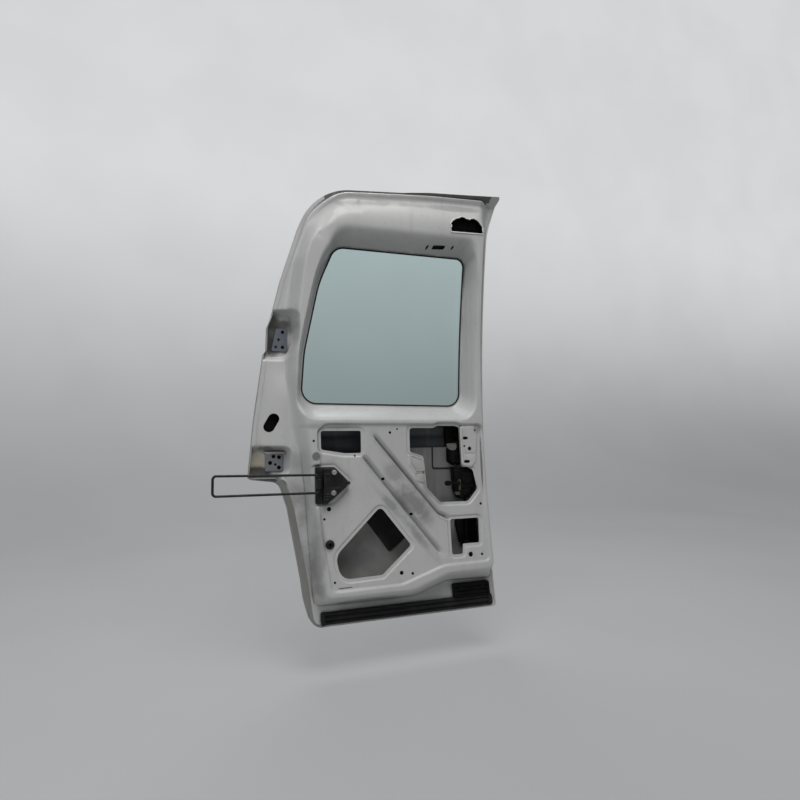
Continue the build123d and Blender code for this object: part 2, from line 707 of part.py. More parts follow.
with BuildPart() as belt_beam:
    beam_face = rounded([(84, 46, 3), (560, 46, 3), (560, 90, 3), (84, 90, 3)])
    beam_air = rounded([(60, 50, 3), (590, 50, 3), (590, 86, 3), (60, 86, 3)])
    add(plate(beam_face, H_SKIN + SHEET, -8.0))
    add(plate(beam_air, H_SKIN - 5, -8.0 - SHEET), mode=Mode.SUBTRACT)
pieces["belt_beam"] = belt_beam.part
with BuildPart() as hole_plug:
    add(plate(disc(93, 9, 9.5), H_FACE, H_FACE + 2.0))
pieces["hole_plug"] = hole_plug.part
with BuildPart() as buffer:
    add(plate(disc(124, -207, 10.0), H_FIELD, H_FIELD + 5.0))
    add(column(disc(124, -207, 4.0), bow_y(H_FIELD + 2.0, -207), Y_FRONT), mode=Mode.SUBTRACT)
pieces["rubber_buffer"] = buffer.part

os.makedirs("parts", exist_ok=True)
for node, piece in pieces.items():
    piece.label = node
    export_step(piece, f"parts/{node}.step")
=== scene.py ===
"""Looks of the campervan rear barn door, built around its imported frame.

Blender works in metres. The sizes below are millimetres in the door's own frame: X from the hinge
edge to the lock edge, Z up, and the inside of the door towards -Y. An outline lists its corners as
X, Z and radius.
"""
import math
import random

import bmesh
import bpy
import numpy as np
from mathutils import Matrix, Vector
from mathutils.geometry import delaunay_2d_cdt
from mathutils.kdtree import KDTree


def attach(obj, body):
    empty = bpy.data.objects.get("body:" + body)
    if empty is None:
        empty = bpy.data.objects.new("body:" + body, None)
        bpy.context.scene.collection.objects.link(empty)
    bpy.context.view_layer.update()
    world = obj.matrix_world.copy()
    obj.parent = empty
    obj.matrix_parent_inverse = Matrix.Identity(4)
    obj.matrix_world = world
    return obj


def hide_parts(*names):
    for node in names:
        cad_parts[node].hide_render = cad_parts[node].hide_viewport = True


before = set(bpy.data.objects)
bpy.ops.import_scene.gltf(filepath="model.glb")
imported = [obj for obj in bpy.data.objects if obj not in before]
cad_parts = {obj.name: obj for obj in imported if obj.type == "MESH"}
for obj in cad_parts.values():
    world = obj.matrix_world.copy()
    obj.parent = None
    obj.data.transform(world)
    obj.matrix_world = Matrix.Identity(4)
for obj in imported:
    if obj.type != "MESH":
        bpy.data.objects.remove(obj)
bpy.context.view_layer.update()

MM = 0.001

# Bow of the door and its layers, measured from the flange face towards the inside.
BOW_R = 2800.0
BOW_Z = 157.0
FLANGE_Y = -6.0
H_SKIN = -30.0
H_LIP = -20.0
H_FACE = 46.0
H_FIELD = 41.0
H_BORDER = 38.5
H_GROOVE = 32.0
CURL_Z = 640.0
CURL_R = 125.0
SHEET = 1.2
SKIN_GAP = 1.0

# Outline of the door, and the near and far corners of the pan's and the window's drafted walls.
LOCK_X = 591.0
LOCK_LEAN = 4.0
LOCK_TOP_Z = 640.0
SILL_Z = -404.0
DOOR = [
    (-66, -46, 3), (16, -46, 34), (40, -118, 120), (70, -290, 300), (84, SILL_Z, 28),
    (LOCK_X - LOCK_LEAN, SILL_Z, 6), (LOCK_X, LOCK_TOP_Z, 200), (LOCK_X + 25, 732, 6), (400, 721, 900),
    (79, 691, 150), (8, 455, 320), (-13, 362, 40), (-23, 336, 12), (-24, 277, 3), (-31, 268, 2),
    (-54, 90, 400),
]
PAN = [
    ((88, -355), (112, -326), 18), ((350, -356), (330, -327), 70), ((446, -327), (436, -293), 60),
    ((LOCK_X - 12, -331), (LOCK_X - 22, -291), 12), ((LOCK_X - 13, 180), (LOCK_X - 31, 180), 2000),
    ((LOCK_X - 13, 704), (LOCK_X - 33, 614), 12), ((150, 688), (172, 602), 60), ((68, 606), (88, 584), 90),
    ((36, 512), (66, 508), 160), ((16, 380), (54, 376), 200), ((19, 210), (48, 206), 200),
    ((34, 96), (74, 92), 120), ((62, 8), (90, 6), 120), ((71, -60), (91, -60), 160),
]
WINDOW = [
    ((56, 112), (66, 144), 40), ((533, 112), (523, 142), 38), ((535, 604), (532, 566), 24),
    ((142, 594), (150, 560), 40), ((98, 460), (110, 462), 300), ((62, 276), (74, 278), 400),
]
WALL_CRISP = 0.5
WALL_SOFT_Z = 120.0
LIP = 4.0
WINDOW_ROLL = 14.0
HEAD_FROM = (480.0, 550.0)
HEAD_ROLL = 3.4

# Recessed field, bordered openings and other holes.
FIELD = [
    (108, 89, 16), (104, -8, 12), (100, -112, 10), (108, -200, 60), (126, -317, 14), (306, -315, 60),
    (424, -279, 60), (558, -277, 10), (558, 89, 14),
]
BRACKET_SEAT = [(84, -14, 6), (140, -14, 10), (187, -58, 10), (140, -106, 10), (84, -116, 6)]
FIELD_EDGE = 6.0
TRIM_SLOT = [(106, 72, 6), (107, 25, 6), (168, 15, 20), (211, 15, 5), (211, 72, 5)]
LOCK_HOLE = [
    (346, 79, 8), (346, 16, 6), (384, 3, 8), (391, -80, 10), (428, -119, 5), (510, -120, 16),
    (541, -88, 12), (530, -36, 10), (512, -28, 6), (495, -28, 8), (492, 80, 4), (480, 85, 6),
    (428, 85, 6), (414, 79, 6),
]
DIAMOND = [(259, -122, 12), (138, -236, 32), (150, -292, 30), (256, -289, 10), (338, -223, 8)]
CORNER_HOLE = [
    (453, -165, 5), (538, -165, 5), (535, -230, 4), (486, -230, 4), (483, -256, 5), (452, -256, 5),
]
BORDERED = [TRIM_SLOT, LOCK_HOLE, DIAMOND, CORNER_HOLE]
BORDER = 9.0
BORDER_EDGE = 4.0
TORN_HOLE = [
    (459, 615, 2), (555, 619, 2), (556, 636, 3), (549, 645, 3), (541, 652, 3), (531, 657, 3), (522, 658, 2),
    (514, 653, 2), (505, 655, 2), (493, 659, 4), (481, 655, 3), (470, 650, 3), (462, 644, 3), (456, 636, 3),
]
ROUND_HOLES = [
    (87, 47, 3.0), (194, 8, 2.5), (290, 67, 3.5), (310, 76, 2.5), (269, -53, 4.0), (343, -146, 4.0),
    (124, -122, 5.5), (112, -146, 3.0), (133, -296, 3.0), (306, -288, 5.0), (336, -292, 3.5),
    (505, -258, 6.5), (539, -260, 3.5), (547, -128, 3.5), (505, 29, 3.5), (520, 22, 6.0), (540, 70, 4.0),
    (402, 576.5, 3.2), (475, 580.5, 3.2),
]
HEADER_SLOT = ((420, 577.5), (450, 579), 6.0)
HINGE_SLOT = ((-17, 83), (-6, 103), 27.0)
LOCK_SLOTS = [((505, 51), (513, 51), 10.0), ((506, -13), (516, -13), 10.0)]
SILL_SLIT = ((143, -310.5), (175, -310), 2.6)
LOWER_PAD_HOLES = [(10, 7, 5.0), (10, -19, 5.0), (-12, -7, 5.0), (-4, 9, 4.8), (1, -11, 3.2)]
UPPER_PAD_HOLES = [(17, 326, 4.5), (17, 287, 4.5), (7, 306, 3.5), (0, 287, 3.5)]
PAD_HOLE_ROOM = 1.0

# Grooves, creases and pockets.
GROOVES = [([(247, 59), (421, -148), (449, -162)], 9.0), ([(218, 5), (420, -249)], 10.0)]
GROOVE_CRISP = 4.0
GROOVE_SOFT = 14.0
GROOVE_FADE = 30.0
GROOVE_BEAD = 1.6
GROOVE_BEAD_WIDE = 2.6
SEAT_CREASE = 1.8
SEAT_CREASE_WIDE = 3.2
CLIP_BOSS = [(340, 12, 6), (378, -6, 6), (379, -42, 4), (358, -42, 6), (340, -18, 8)]
CLIP_BOSS_RISE = 2.2
POCKET_Y = 4.0
LOWER_POCKET = [
    (-120, -120, 2), (-30, -120, 2), (-4, -44, 20), (24, -24, 14), (26, 22, 8), (-120, 22, 2),
]
UPPER_POCKET = [(-120, 262, 2), (20, 262, 20), (38, 300, 24), (38, 372, 14), (-120, 352, 2)]
POCKETS = [LOWER_POCKET, UPPER_POCKET]
POCKET_WALL = 14.0
HEM = 10.0
HEM_RISE = 1.2
HEM_EDGE = 2.0

# Header's height by the depth below the top edge, and the crease round its hinge end.
HEADER_PROFILE = [
    (0, 0), (11, 0), (14, 24), (17, 31), (21, 31), (29, 26.5), (38, 27), (60, 32), (80, 37), (100, 42),
]
HEADER_FROM = (60.0, 150.0)
HEADER_TO = (590.0, 548.0)
HEADER_FADE = (190.0, 100.0)
UPPER_Z = 560.0
TOP_FROM_Z = 705.0
TOP_LEAN_STEP = 2.0
MIDDLE_X = 300.0
HEADER_CREASE = [(97, 566), (103, 590), (113, 615), (126, 632), (150, 641), (196, 646)]
CREASE_DEEP = 3.0
CREASE_WIDE = 9.0

# Slow rise of the hinge-side flange towards the pan.
RAMP_RISE = 17.0
RAMP_X = (-46.0, 40.0)
RAMP_LOW_Z = (-40.0, 30.0)
RAMP_HIGH_Z = (250.0, 150.0)

# Mesh densities, and the loops beside each edge that carry the sheet's shape.
FINE = 4.0
COARSE = 10.0
CUT_STEP = 3.0
BORDER_STEP = 3.5
SMALL_STEP = 2.0
ARC_TURN = 0.35
LEAST_R = 0.5
KEEP_APART = 1.3
CLEAR_RIM = 1.0
CLEAR_RIM_GRID = 2.0
CLEAR_GRID = 5.0
FAR = 60.0
TINY = 1e-6
MERGE = 1e-4
DOOR_INSETS = (3, 6, HEM - 1.2, HEM, HEM + 1.2, 12.5, 14, 16, 18, 22, 26, 33)
PAN_SHARES = (-0.1, 0, 0.06, 0.14, 0.24, 0.36, 0.5, 0.64, 0.76, 0.86, 0.94, 1, 1.12)
REVEAL_GROWS = (WINDOW_ROLL + 3, WINDOW_ROLL, 11, 8, 5, 2.5, 0)
REVEAL_SHARES = (0.1, 0.25, 0.4, 0.55, 0.7, 0.85)
LIP_GROWS = (LIP + 0.5, LIP - 0.5, 2)
FIELD_GROWS = (-6, -3.5, -1.8, 0, 1.8, 3.5, 6)
BORDER_GROWS = (-6, -3, -2, -0.7, 0.7, 2, 3.5, 6)
GROOVE_GROWS = (-10, -7, -5, -3, -1.5, 0, 1.5, 3, 4.5, 6, 8.5, 12)
POCKET_GROWS = range(-2, 17, 2)
HOLE_GROW = 2.5
SHEET_SHARP = 40.0
SOLID_SHARP = 35.0
BOLT_SHARP = 25.0


def unit(vector):
    return vector / np.linalg.norm(vector)


def signed_area(points):
    """Twice the area of a closed run of points, signed by its direction."""
    behind = np.roll(points, 1, axis=0)
    return np.sum(behind[:, 0] * points[:, 1] - points[:, 0] * behind[:, 1])


def rounded_loop(corners, grow=0.0, step=FINE):
    """Closed run of points with rounded corners, moved outwards by grow."""
    points = np.array([(c[0], c[1]) for c in corners], float)
    count = len(points)
    area = signed_area(points)
    run = []
    for i in range(count):
        back = unit(points[i - 1] - points[i])
        ahead = unit(points[(i + 1) % count] - points[i])
        half = math.acos(np.clip(back @ ahead, -1, 1)) / 2
        middle = unit(back + ahead)
        turn = back[1] * ahead[0] - back[0] * ahead[1]
        side = -1 if turn * area > 0 else 1
        corner = points[i] + middle * (side * grow / math.sin(half))
        radius = max(corners[i][2] - side * grow, LEAST_R)
        reach = radius / math.tan(half)
        centre = corner + middle * (radius / math.sin(half))
        start = corner + back * reach - centre
        end = corner + ahead * reach - centre
        sweep = math.pi - 2 * half
        pieces = max(2, math.ceil(radius * sweep / step), math.ceil(sweep / ARC_TURN))
        for k in range(pieces + 1):
            share = k / pieces
            first = math.sin((1 - share) * sweep) / math.sin(sweep)
            second = math.sin(share * sweep) / math.sin(sweep)
            run.append(centre + start * first + end * second)
    dense = []
    for i, point in enumerate(run):
        gap = run[(i + 1) % len(run)] - point
        parts = max(1, math.ceil(np.linalg.norm(gap) / step))
        dense.extend(point + gap * (k / parts) for k in range(parts))
    return np.array(dense)


def slot_loop(start, end, width):
    """Closed run of points round an obround."""
    start = np.array(start, float)
    end = np.array(end, float)
    along = unit(end - start)
    heading = math.atan2(along[1], along[0])
    pieces = max(8, math.ceil(math.pi * width / 2 / FINE))
    loop = []
    for centre, turn in ((end, -math.pi / 2), (start, math.pi / 2)):
        for k in range(pieces + 1):
            angle = heading + turn + math.pi * k / pieces
            loop.append(centre + np.array((math.cos(angle), math.sin(angle))) * (width / 2))
    return np.array(loop)


def circle_loop(x, z, r, count=24):
    angles = np.linspace(0, 2 * math.pi, count, endpoint=False)
    return np.column_stack((x + r * np.cos(angles), z + r * np.sin(angles)))


def inside_distance(points, loop):
    """Distance to a closed loop, positive inside; points far outside get -FAR."""
    result = np.full(len(points), -FAR)
    near = np.all((points > loop.min(0) - FAR) & (points < loop.max(0) + FAR), axis=1)
    p = points[near]
    best = np.full(len(p), np.inf)
    odd = np.zeros(len(p), bool)
    for a, b in zip(loop, np.roll(loop, -1, axis=0)):
        run = b - a
        offset = p - a
        share = np.clip(offset @ run / max(run @ run, TINY**2), 0, 1)
        gap = offset - share[:, None] * run
        best = np.minimum(best, np.einsum("ij,ij->i", gap, gap))
        if a[1] != b[1]:
            crosses = (a[1] > p[:, 1]) != (b[1] > p[:, 1])
            odd ^= crosses & (p[:, 0] < a[0] + (p[:, 1] - a[1]) * run[0] / run[1])
    distance = np.sqrt(best)
    result[near] = np.where(odd, distance, -distance)
    return result


def line_distance(points, start, end):
    """Distance to a straight run and the length along it."""
    start = np.array(start, float)
    run = np.array(end, float) - start
    offset = points - start
    along = offset @ unit(run)
    share = np.clip(offset @ run / (run @ run), 0, 1)
    return np.linalg.norm(offset - share[:, None] * run, axis=1), along


def path_distance(points, path):
    """Distance to a run of straight pieces."""
    return np.min([line_distance(points, a, b)[0] for a, b in zip(path, path[1:])], axis=0)


def smooth(t):
    t = np.clip(t, 0, 1)
    return t * t * (3 - 2 * t)


def rise(value, start, full):
    """Smooth step from 0 at start to 1 at full."""
    return smooth((value - start) / (full - start))


def edge_step(distance, width):
    """Smooth step of a width, half way up where the distance is 0."""
    return smooth(distance / width + 0.5)


def hump(distance, width):
    """1 where the distance is 0, fading on both sides."""
    return np.exp(-((distance / width) ** 2))


def rolled(t):
    """Ramp from 0 to 1 whose start is rounded and whose end is a crease."""
    t = np.clip(t, 0, 1)
    slope = 1 / (1 - WALL_CRISP / 2)
    return np.where(t < WALL_CRISP, slope * t * t / (2 * WALL_CRISP), slope * (t - WALL_CRISP / 2))


def between(corners, share):
    """Corners between the first and second outline of a drafted wall."""
    return [
        (near[0] + share * (far[0] - near[0]), near[1] + share * (far[1] - near[1]), r)
        for near, far, r in corners
    ]


def bow_y(h, z):
    """Y of the layer h at height z."""
    return FLANGE_Y - BOW_R + np.sqrt((BOW_R - h) ** 2 - (z - BOW_Z) ** 2)


def skin_y(z):
    """Y of the inner side of the skin and its curled top."""
    start = math.asin((CURL_Z - BOW_Z) / (BOW_R - H_SKIN))
    reach = BOW_R - H_SKIN - CURL_R
    curl_y = FLANGE_Y - BOW_R + reach * math.cos(start)
    curl_z = BOW_Z + reach * math.sin(start)
    curled = curl_y + np.sqrt(np.maximum((CURL_R - SHEET) ** 2 - (z - curl_z) ** 2, 0))
    return np.where(z < CURL_Z, bow_y(H_SKIN + SHEET, z), curled)


def coarse_loop(corners, grow=0.0):
    return rounded_loop(corners, grow, COARSE)


door_loop = coarse_loop(DOOR)
pan_base = coarse_loop(between(PAN, 0))
pan_face = coarse_loop(between(PAN, 1))
window_top = coarse_loop(between(WINDOW, 0), WINDOW_ROLL)
window_low = coarse_loop(between(WINDOW, 1), LIP)
field_loop = coarse_loop(FIELD)
seat_loop = coarse_loop(BRACKET_SEAT)
boss_loop = coarse_loop(CLIP_BOSS)


def wall_share(points, outer, inner):
    """0 on the outer loop, 1 on the inner one."""
    past = np.clip(inside_distance(points, outer), 0, None)
    left = np.clip(-inside_distance(points, inner), 0, None)
    return past / np.maximum(past + left, TINY)


def top_z(x):
    """Height of the door's top edge over x."""
    x_loop, z_loop = door_loop.T
    upper = door_loop[(z_loop > UPPER_Z) & ((x_loop < MIDDLE_X) | (z_loop > TOP_FROM_Z))]
    order = np.argsort(upper[:, 0])
    return np.interp(x, upper[order, 0], upper[order, 1])


def header_base(points):
    """Height of the header's own flange: a hem under the skin, a ridge and a slow rise to the face."""
    x = points[:, 0]
    lean = (top_z(x + TOP_LEAN_STEP) - top_z(x - TOP_LEAN_STEP)) / (2 * TOP_LEAN_STEP)
    below = (top_z(x) - points[:, 1]) / np.sqrt(1 + lean**2)
    depths, heights = zip(*HEADER_PROFILE)
    along = rise(x, *HEADER_FROM) * rise(x, *HEADER_TO)
    return np.interp(below, depths, heights) * along * rise(below, *HEADER_FADE)


def flange_ramp(points):
    """Height of the hinge-side flange."""
    x, z = points.T
    along = rise(z, *RAMP_LOW_Z) * rise(z, *RAMP_HIGH_Z)
    return RAMP_RISE * rise(x, *RAMP_X) * along * (x < MIDDLE_X)


def groove_offset(points, path):
    """Distance to a groove's middle, positive on its lower side, and the length to its nearer end."""
    best = np.full(len(points), np.inf)
    offset = np.zeros(len(points))
    inset = np.zeros(len(points))
    total = sum(math.dist(a, b) for a, b in zip(path, path[1:]))
    passed = 0.0
    for a, b in zip(path, path[1:]):
        away, along = line_distance(points, a, b)
        run = unit(np.subtract(b, a).astype(float))
        side = (points[:, 1] - a[1]) * run[0] - (points[:, 0] - a[0]) * run[1]
        nearer = away < best
        best = np.where(nearer, away, best)
        offset = np.where(nearer, np.where(side > 0, -away, away), offset)
        inset = np.where(nearer, np.minimum(passed + along, total - passed - along), inset)
        passed += math.dist(a, b)
    return offset, inset


def pan_height(points):
    """Height of the flange, the pan's wall and its face, with the hem and the header's crease."""
    share = wall_share(points, pan_base, pan_face)
    crisp = 1 - rolled(1 - share)
    base = header_base(points) + flange_ramp(points)
    h = base + (H_FACE - base) * (crisp + (smooth(share) - crisp) * smooth(points[:, 1] / WALL_SOFT_Z))
    h += HEM_RISE * edge_step(HEM - inside_distance(points, door_loop), HEM_EDGE)
    return h - CREASE_DEEP * hump(path_distance(points, HEADER_CREASE), CREASE_WIDE)


def press_field(points, h):
    """Height h with the field, the bracket's seat, the clip's boss and the openings' borders in it."""
    seat = inside_distance(points, seat_loop)
    depth = np.maximum(inside_distance(points, field_loop), seat)
    h -= (H_FACE - H_FIELD) * edge_step(depth, FIELD_EDGE)
    h -= SEAT_CREASE * hump(seat, SEAT_CREASE_WIDE)
    h += CLIP_BOSS_RISE * edge_step(inside_distance(points, boss_loop), BORDER_EDGE)
    for corners in BORDERED:
        away = -inside_distance(points, coarse_loop(corners))
        h += np.minimum(H_BORDER - h, 0) * edge_step(BORDER - away, BORDER_EDGE)
    return h


def press_grooves(points, h):
    """Height h with the grooves and the bead along each of them in it."""
    for path, width in GROOVES:
        offset, inset = groove_offset(points, path)
        fade = edge_step(inset, GROOVE_FADE)
        lower = edge_step(width / 2 - offset, GROOVE_CRISP)
        upper = edge_step(width / 2 + offset, GROOVE_SOFT)
        h += np.minimum(H_GROOVE - h, 0) * lower * upper * fade
        h += GROOVE_BEAD * hump(offset - width / 2 - GROOVE_BEAD_WIDE, GROOVE_BEAD_WIDE) * fade
    return h


def panel_y(points):
    """Y of the pressed sheet's inside face at points (x, z)."""
    z = points[:, 1]
    h = press_grooves(points, press_field(points, pan_height(points)))
    share = wall_share(points, window_top, window_low)
    fall = smooth(share) + (share**HEAD_ROLL - smooth(share)) * rise(z, *HEAD_FROM)
    h += (H_LIP + SHEET - h) * fall
    y = bow_y(h, z)
    for corners in POCKETS:
        depth = inside_distance(points, coarse_loop(corners, POCKET_WALL))
        y += (POCKET_Y - y) * smooth(depth / POCKET_WALL)
    return np.minimum(y, skin_y(z) - SHEET - SKIN_GAP)


def sheet_points():
    """Boundary loops and the points that carry the sheet's shape."""
    cut = [rounded_loop(corners, step=CUT_STEP) for corners in [*BORDERED, TORN_HOLE]]
    cut.append(rounded_loop(between(WINDOW, 1)))
    cut += [slot_loop(*slot) for slot in (HEADER_SLOT, HINGE_SLOT, SILL_SLIT, *LOCK_SLOTS)]
    cut += [circle_loop(*hole) for hole in ROUND_HOLES]
    cut += [circle_loop(x, z, r + PAD_HOLE_ROOM) for x, z, r in LOWER_PAD_HOLES + UPPER_PAD_HOLES]
    shape = [rounded_loop(DOOR, -inset) for inset in DOOR_INSETS]
    shape += [rounded_loop(between(PAN, share)) for share in PAN_SHARES]
    shape += [rounded_loop(between(WINDOW, 0), grow) for grow in REVEAL_GROWS]
    shape += [rounded_loop(between(WINDOW, share), LIP * share) for share in REVEAL_SHARES]
    shape += [rounded_loop(between(WINDOW, 1), grow) for grow in LIP_GROWS]
    for corners in (FIELD, BRACKET_SEAT, CLIP_BOSS):
        shape += [rounded_loop(corners, grow) for grow in FIELD_GROWS]
    for corners in BORDERED:
        shape += [rounded_loop(corners, BORDER + grow, BORDER_STEP) for grow in BORDER_GROWS]
    for path, width in GROOVES:
        for a, b in zip(path, path[1:]):
            run = np.subtract(b, a).astype(float)
            steps = np.linspace(0, 1, math.ceil(np.linalg.norm(run) / FINE))[:, None]
            across = unit(run)[::-1] * (1, -1)
            for grow in GROOVE_GROWS:
                for edge in (width / 2 + grow, -width / 2 - grow):
                    shape.append(a + steps * run + across * edge)
    for corners in POCKETS:
        shape += [rounded_loop(corners, grow) for grow in POCKET_GROWS]
    shape += [circle_loop(x, z, r + HOLE_GROW) for x, z, r in ROUND_HOLES]
    return rounded_loop(DOOR), cut, np.vstack(shape)


def thin_out(fixed, extra):
    """Extra points that keep apart from the fixed ones and from each other."""
    cells = {tuple(c) for c in np.floor(fixed / KEEP_APART).astype(int)}
    kept = []
    for point, cell in zip(extra, np.floor(extra / KEEP_APART).astype(int)):
        key = tuple(cell)
        if key not in cells:
            cells.add(key)
            kept.append(point)
    return np.array(kept)


def clear_of(fixed, extra):
    """Extra points that keep the grid's distance from every fixed one."""
    tree = KDTree(len(fixed))
    for i, (x, z) in enumerate(fixed):
        tree.insert((x, z, 0), i)
    tree.balance()
    return np.array([p for p in extra if tree.find((p[0], p[1], 0))[2] > CLEAR_GRID])


def boundary(loops):
    """Points of all loops and the edges between them."""
    edges = []
    count = 0
    for loop in loops:
        edges += [(count + i, count + (i + 1) % len(loop)) for i in range(len(loop))]
        count += len(loop)
    return np.vstack(loops), edges


def is_inside(points, outer, cut, margin=0.0):
    """Which points lie inside outer and outside each cut loop by a margin."""
    keep = inside_distance(points, outer) > margin
    for loop in cut:
        keep &= inside_distance(points, loop) < -margin
    return keep


def new_mesh(name, verts, faces, sharp=SHEET_SHARP):
    """Smooth-shaded mesh object from coordinates in metres."""
    mesh = bpy.data.meshes.new(name)
    mesh.from_pydata([tuple(v) for v in verts], [], [tuple(f) for f in faces])
    mesh.validate()
    mesh.shade_smooth()
    mesh.set_sharp_from_angle(angle=math.radians(sharp))
    piece = bpy.data.objects.new(name, mesh)
    bpy.context.scene.collection.objects.link(piece)
    return piece


def pressed_sheet(name, outer, cut, shape, sheet_y):
    """Closed sheet of even thickness inside outer and outside the cut loops."""
    rim, edges = boundary([outer, *cut])
    shape = thin_out(rim, shape[is_inside(shape, outer, cut, CLEAR_RIM)])
    columns, rows = (np.arange(low, high, COARSE) for low, high in zip(outer.min(0), outer.max(0)))
    grid = np.array([(x, z) for x in columns for z in rows])
    grid = clear_of(np.vstack((rim, shape)), grid[is_inside(grid, outer, cut, CLEAR_RIM_GRID)])
    flat = np.vstack((rim, shape, grid))
    found = delaunay_2d_cdt([Vector(p) for p in flat], edges, [], 0, MERGE)
    points = np.array([tuple(p) for p in found[0]])
    faces = np.array(found[2])
    faces = faces[is_inside(points[faces].mean(axis=1), outer, cut)]
    used, faces = np.unique(faces, return_inverse=True)
    points = points[used]
    front = np.column_stack((points[:, 0], sheet_y(points), points[:, 1]))
    return closed_sheet(name, front, faces.reshape(-1, 3))


def closed_sheet(name, front, faces):
    """Closed sheet from the triangles of its inside face, thickened towards +Y."""
    a, b, c = (front[faces[:, k]] for k in range(3))
    normal = np.cross(b - a, c - a)
    flip = normal[:, 1] > 0
    faces[flip] = faces[flip][:, ::-1]
    normal[flip] *= -1
    vertex_normal = np.zeros_like(front)
    for k in range(3):
        np.add.at(vertex_normal, faces[:, k], normal)
    vertex_normal /= np.linalg.norm(vertex_normal, axis=1)[:, None]
    back = front - vertex_normal * SHEET
    count = len(front)
    fronts = faces.tolist()
    directed = [(face[i], face[(i + 1) % 3]) for face in fronts for i in range(3)]
    known = set(directed)
    walls = [(j, i, i + count, j + count) for i, j in directed if (j, i) not in known]
    backs = (faces[:, ::-1] + count).tolist()
    return new_mesh(name, np.vstack((front, back)) * MM, [*fronts, *backs, *walls])


def small_sheet(name, corners, cut, insets, step, sheet_y, extra=()):
    """Pressed sheet on one outline, with loops inside its edge that carry its shape."""
    shape = [rounded_loop(corners, -inset, step) for inset in insets]
    return pressed_sheet(name, rounded_loop(corners), cut, np.vstack([*shape, *extra]), sheet_y)


def side_normals(loop, closed=True):
    """Unit normals of a run of points in X and Z, out of the loop where it is closed."""
    if closed:
        ahead = np.roll(loop, -1, axis=0) - np.roll(loop, 1, axis=0)
    else:
        ahead = np.gradient(loop, axis=0)
    ahead /= np.linalg.norm(ahead, axis=1)[:, None]
    turn = -1 if closed and signed_area(loop) < 0 else 1
    return np.column_stack((ahead[:, 1], -ahead[:, 0])) * turn


def joined_rings(rings, closed=False):
    """Points and faces of a skin over rings of equal count, capped unless it closes on itself."""
    count = len(rings[0])
    faces = []
    for k in range(len(rings) if closed else len(rings) - 1):
        here = k * count
        there = (k + 1) % len(rings) * count
        for i in range(count):
            j = (i + 1) % count
            faces.append((here + i, here + j, there + j, there + i))
    if not closed:
        faces.append(tuple(range(count)))
        faces.append(tuple(range((len(rings) - 1) * count, len(rings) * count)))
    return np.vstack(rings), faces


EDGE_SHARE = 0.3
BEAD_SIDES = 8
ROD_SIDES = 18
ROD_EASE = 1.0
ASKEW = (0.3, 0.5, 0.8)


def block(loop, back_y, front_y, edge):
    """Raised block on a closed loop with a rounded front edge."""
    out = side_normals(loop)
    steps = ((0, back_y), (0, front_y + edge), (EDGE_SHARE, front_y + EDGE_SHARE * edge), (1, front_y))
    rings = []
    for inset, y in steps:
        ring = loop - out * (inset * edge)
        rings.append(np.column_stack((ring[:, 0], np.broadcast_to(y, len(loop)), ring[:, 1])))
    return joined_rings(rings)


def bowed_block(corners, back_h, front_h, edge):
    """Raised block between two layers of the bow."""
    loop = rounded_loop(corners)
    return block(loop, bow_y(back_h, loop[:, 1]), bow_y(front_h, loop[:, 1]), edge)


def bead(run, y, radius, closed=True):
    """Round bead along a run of points."""
    out = side_normals(run, closed)
    angles = np.linspace(0, 2 * math.pi, BEAD_SIDES, endpoint=False)
    rings = []
    for point, normal, depth in zip(run, out, np.broadcast_to(y, len(run))):
        side = point + normal * radius * np.cos(angles)[:, None]
        rings.append(np.column_stack((side[:, 0], depth - radius * np.sin(angles), side[:, 1])))
    return joined_rings(rings, closed)


def turned(at, profile, y=0.0, count=28):
    """Turned shape about a line along Y, from a profile of radius and depth from y."""
    return joined_rings([np.insert(circle_loop(*at, r, count), 1, y + d, axis=1) for r, d in profile])


def rod(start, end, radius):
    """Round rod between two points in X, Y and Z, with eased ends."""
    start = np.array(start, float)
    axis = np.array(end, float) - start
    length = np.linalg.norm(axis)
    axis /= length
    side = unit(np.cross(axis, ASKEW))
    other = np.cross(axis, side)
    angles = np.linspace(0, 2 * math.pi, ROD_SIDES, endpoint=False)[:, None]
    ring = side * np.cos(angles) + other * np.sin(angles)
    small = radius - ROD_EASE
    steps = ((0, small), (ROD_EASE, radius), (length - ROD_EASE, radius), (length, small))
    return joined_rings([start + axis * along + ring * r for along, r in steps])


def carried(stations, section):
    """Closed section of height and layer points carried along X."""
    z, h = np.array(section, float).T
    return joined_rings([np.column_stack((np.full(len(z), x), bow_y(h, z), z)) for x in stations])


def straight(start, end, step=FINE):
    """Points along a straight run."""
    count = max(2, math.ceil(math.dist(start, end) / step) + 1)
    return np.linspace(start, end, count)


def made_of(blocks=(), rods=(), turnings=()):
    """Skins of blocks (outline, back, front, edge), rods (ends, radius) and turnings (place, profile)."""
    return [
        *(block(rounded_loop(corners), *depths) for corners, *depths in blocks),
        *(rod(*run) for run in rods),
        *(turned(*turning) for turning in turnings),
    ]


def solid(name, parts, sharp=SOLID_SHARP):
    """One object from several closed skins, with its faces turned outwards."""
    verts = []
    faces = []
    for points, skin in parts:
        faces += [tuple(len(verts) + i for i in face) for face in skin]
        verts += (points * MM).tolist()
    piece = new_mesh(name, verts, faces, sharp)
    shell = bmesh.new()
    shell.from_mesh(piece.data)
    bmesh.ops.recalc_face_normals(shell, faces=shell.faces)
    shell.to_mesh(piece.data)
    shell.free()
    return piece


